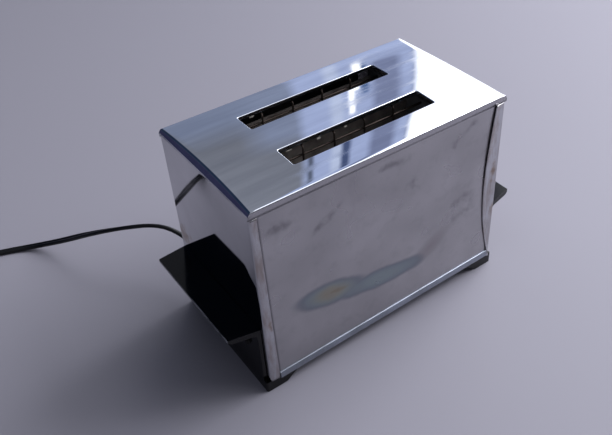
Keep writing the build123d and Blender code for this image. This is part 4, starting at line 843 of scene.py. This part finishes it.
for node, middle, way in (
    ("front_outer_guard", -SLOT_MIDDLE, -1),
    ("front_inner_guard", -SLOT_MIDDLE, 1),
    ("rear_inner_guard", SLOT_MIDDLE, -1),
    ("rear_outer_guard", SLOT_MIDDLE, 1),
):
    wire_y = middle + way * WIRE_LINE
    rods, wire_low, wire_high = guard_rails(node, wire_y, way)
    rods += [
        hooked_wire(WIRE_PITCH * (k - 1.5), wire_y, way, wire_low, wire_high - WIRE) for k in range(4)
    ]
    guard = piece(f"{node}_wires", rods, guard_steel, slot="guard_wire", smooth_angle=60.0)
    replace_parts(guard, node)


# Pale tabs under the slots' rear lips: blocks whose white paints the small glints seen there
def leaning_block(low, high, lean):
    """Box between two corners whose top is pushed along y by lean."""
    corners = np.stack(np.meshgrid(*zip(low, high), indexing="ij"), -1).reshape(-1, 3)
    corners[:, 1] += lean * (corners[:, 2] - low[2]) / (high[2] - low[2])
    faces = [(0, 1, 3, 2), (4, 6, 7, 5), (0, 4, 5, 1), (2, 3, 7, 6), (0, 2, 6, 4), (1, 5, 7, 3)]
    return corners, np.array(faces)


glint_tabs = []
for marks, middle in ((FRONT_TABS, -SLOT_MIDDLE), (REAR_TABS, SLOT_MIDDLE)):
    tab_y = middle + SLOT_HALF_WIDTH + SHEET - TAB_SINK
    for x, low, half in marks:
        glint_tabs.append(leaning_block((x - half, tab_y, low), (x + half, tab_y + TAB_THICK, TAB_TOP), TAB_LEAN))
piece("guard_tabs", glint_tabs, steatite, slot="ceramic")


# End mouldings, knobs and other small solids keep the form of their solids with softened edges
for node in ("left_end_moulding", "right_end_moulding"):
    softened(node, black_phenolic, 0.5, 3)
softened("lift_knob", black_phenolic, 0.8, 3)
softened("plug_body", lead_vinyl, 1.5, 3)
softened("coil_tie", lead_vinyl, 0.25, 2)
softened("strain_relief", lead_vinyl, 0.3, 2)


# Solids that keep their own mesh get the finish of what they are made of
SOLID_FINISH = {
    "plated_case": top_plate,
    "black_phenolic": black_phenolic,
    "plated_screws": nickel_screw,
    "zinc_steel": frame_steel,
    "guard_wire": guard_steel,
    "mica": mica_sheet,
    "heater_alloy": heater_alloy,
    "ceramic": steatite,
    "brass": brass,
    "fibre_board": fibre_board,
    "black_rubber": lead_vinyl,
}
slots = {part["node"]: part["material_slot"] for part in frame["record"]["subparts"]}
for node, solid in frame["nodes"].items():
    solid.data.materials.clear()
    solid.data.materials.append(black_screw if node == "moulding_screws" else SOLID_FINISH[slots[node]])

plug_pieces = [bpy.data.objects[name] for name in ("plug_body_soft", "coil_tie_soft")]
plug_pieces.append(frame["nodes"]["plug_blades"])


# Floor, lights and camera
FLOOR_HALF = 6.0  # metres
LAMP_AIM = 0.1  # metres above the floor


def floor():
    """Plain pale floor of a lilac grey."""
    material, _, shader, _ = finish_of("Floor matt lilac grey")
    shader.inputs["Base Color"].default_value = linear("#A19EA8")
    shader.inputs["Roughness"].default_value = 0.65
    mesh = bpy.data.meshes.new("floor")
    corners = [(x * FLOOR_HALF, y * FLOOR_HALF, 0) for x, y in ((-1, -1), (1, -1), (1, 1), (-1, 1))]
    mesh.from_pydata(corners, [], [(0, 1, 2, 3)])
    mesh.materials.append(material)
    made = bpy.data.objects.new("floor", mesh)
    bpy.context.scene.collection.objects.link(made)


def soft_box(name, direction, distance, width, height, strength, colour):
    """Lamp at an azimuth from +x and an elevation, in degrees, that faces the toaster's middle."""
    azimuth, elevation = (math.radians(value) for value in direction)
    level = math.cos(elevation)
    way = Vector((math.cos(azimuth) * level, math.sin(azimuth) * level, math.sin(elevation)))
    lamp = bpy.data.lights.new(name, "AREA")
    lamp.shape = "RECTANGLE"
    lamp.size, lamp.size_y = width, height
    lamp.energy = strength * width * height
    lamp.color = linear(colour)[:3]
    made = bpy.data.objects.new(name, lamp)
    made.location = way * distance + Vector((0, 0, LAMP_AIM))
    made.rotation_euler = way.to_track_quat("Z", "Y").to_euler()
    bpy.context.scene.collection.objects.link(made)


def within(tree, value, low, high, soft):
    """1 where an angle lies between low and high degrees, with edges soft degrees wide."""
    spans = [(low - soft / 2, low + soft / 2, 0.0, 1.0), (high - soft / 2, high + soft / 2, 1.0, 0.0)]
    sides = [
        add(tree, "ShaderNodeMapRange", {"Value": value, 1: math.radians(a), 2: math.radians(b), 3: c, 4: d})
        for a, b, c, d in spans
    ]
    sockets = {0: sides[0].outputs[0], 1: sides[1].outputs[0]}
    return add(tree, "ShaderNodeMath", sockets, operation="MULTIPLY").outputs["Value"]


# What the chromium sees of the room: (azimuth span, elevation span, edge width, colour, strength).
# Azimuths are read at LEAN_FROM degrees up; upright edges lean by LEAN degrees for each degree up.
LEAN, LEAN_FROM = 0.28, 28.0
DIFFUSE_SHARE = 0.65  # matt surfaces get this share of the walls' light, so that shadows keep their depth
BACKDROP = "#B4B3BD"
ROOM = [
    ((84.0, 178.0), (14.0, 58.0), 10.0, "#26334A", 1.0),
    ((84.0, 178.0), (-20.0, 14.0), 10.0, "#33344F", 1.0),
    ((60.0, 76.0), (8.0, 30.0), 5.0, "#8C96AE", 1.0),
    ((48.5, 64.0), (8.0, 35.0), 3.0, "#959FB8", 1.0),
    ((48.5, 59.5), (8.0, 64.0), 1.0, "#BECBF0", 1.0),
    ((50.0, 52.5), (24.0, 50.0), 0.8, "#8E97B8", 1.0),
    ((55.4, 56.6), (20.0, 46.0), 0.6, "#D9E4FF", 1.0),
    ((58.5, 59.1), (36.0, 46.0), 0.4, "#6E768A", 1.0),
    ((54.6, 55.5), (37.0, 42.0), 0.5, "#56648A", 1.0),
    ((52.9, 53.6), (24.0, 30.0), 0.4, "#5E77A4", 1.0),
    ((53.4, 54.1), (23.5, 27.2), 0.3, "#FFFFFF", 2.0),
    ((53.8, 54.4), (26.9, 28.9), 0.3, "#FFFFFF", 2.0),
    ((54.3, 54.8), (28.6, 33.0), 0.3, "#FFFFFF", 2.0),
    ((-46.0, 48.5), (3.0, 70.0), 0.6, "#F6F8FF", 2.2),
]


def room():
    """Studio round the toaster: soft grey walls, one darker corner and a wall of daylight to the right.
    The camera itself sees only the pale backdrop, and matt surfaces get dimmer walls than gloss does."""
    world = bpy.data.worlds.new("Studio")
    bpy.context.scene.world = world
    world.use_nodes = True
    tree = world.node_tree
    way = add(tree, "ShaderNodeTexCoord").outputs["Generated"]
    parts = add(tree, "ShaderNodeSeparateXYZ", {"Vector": way})
    sockets = {0: parts.outputs["Y"], 1: parts.outputs["X"]}
    azimuth = add(tree, "ShaderNodeMath", sockets, operation="ARCTAN2").outputs["Value"]
    elevation = add(tree, "ShaderNodeMath", {0: parts.outputs["Z"]}, operation="ARCSINE").outputs["Value"]
    sockets = {0: elevation, 1: -math.radians(LEAN_FROM)}
    above = add(tree, "ShaderNodeMath", sockets, operation="ADD").outputs["Value"]
    sockets = {0: above, 1: LEAN, 2: azimuth}
    azimuth = add(tree, "ShaderNodeMath", sockets, operation="MULTIPLY_ADD").outputs["Value"]
    walls = [(0.0, "#4A4A54"), (0.3, "#6A6C76"), (0.5, "#80838D"), (1.0, "#A4A8B4")]
    colour = add(tree, "ShaderNodeValToRGB", {"Fac": parts.outputs["Z"]}, walls).outputs["Color"]
    for (start, end), (low, high), soft, tint, strength in ROOM:
        inside = within(tree, azimuth, start, end, soft)
        tall = within(tree, elevation, low, high, soft)
        share = add(tree, "ShaderNodeMath", {0: inside, 1: tall}, operation="MULTIPLY").outputs["Value"]
        bright = [value * strength for value in linear(tint)[:3]] + [1.0]
        colour = add(tree, "ShaderNodeMix", {0: share, 6: colour, 7: bright}, data_type="RGBA").outputs[2]
    rays = add(tree, "ShaderNodeLightPath").outputs
    sockets = {0: colour, "Scale": DIFFUSE_SHARE}
    dim = add(tree, "ShaderNodeVectorMath", sockets, operation="SCALE").outputs["Vector"]
    sockets = {0: rays["Is Glossy Ray"], 6: dim, 7: colour}
    colour = add(tree, "ShaderNodeMix", sockets, data_type="RGBA").outputs[2]
    sockets = {0: rays["Is Camera Ray"], 6: colour, 7: linear(BACKDROP)}
    colour = add(tree, "ShaderNodeMix", sockets, data_type="RGBA").outputs[2]
    tree.links.new(colour, tree.nodes["Background"].inputs["Color"])


def camera():
    """Camera at the picture's own view; its shift is the offset of the picture's principal point."""
    yaw, pitch, roll = (math.radians(value) for value in (YAW, PITCH, ROLL))
    ahead = Vector((math.sin(yaw) * math.cos(pitch), math.cos(yaw) * math.cos(pitch), -math.sin(pitch)))
    level = Vector((math.cos(yaw), -math.sin(yaw), 0.0))
    upright = level.cross(ahead)
    right = math.cos(roll) * level + math.sin(roll) * upright
    up = -math.sin(roll) * level + math.cos(roll) * upright
    view = bpy.data.cameras.new("View")
    view.sensor_fit = "HORIZONTAL"
    view.sensor_width = 36.0
    view.lens = FOCAL / PICTURE[0] * view.sensor_width
    view.shift_x = (PICTURE[0] / 2 - PRINCIPAL[0]) / PICTURE[0]
    view.shift_y = (PRINCIPAL[1] - PICTURE[1] / 2) / PICTURE[0]
    view.clip_start = 0.01
    made = bpy.data.objects.new("View", view)
    turned = Matrix((right, up, -ahead)).transposed().to_4x4()
    made.matrix_world = Matrix.Translation(Vector(EYE) * MM) @ turned
    bpy.context.scene.collection.objects.link(made)
    bpy.context.scene.camera = made


floor()
room()
soft_box("Daylight", (-8.0, 40.0), distance=1.75, width=1.3, height=1.1, strength=20.0, colour="#F4F6FF")
camera()
bpy.context.scene.view_settings.view_transform = "Standard"
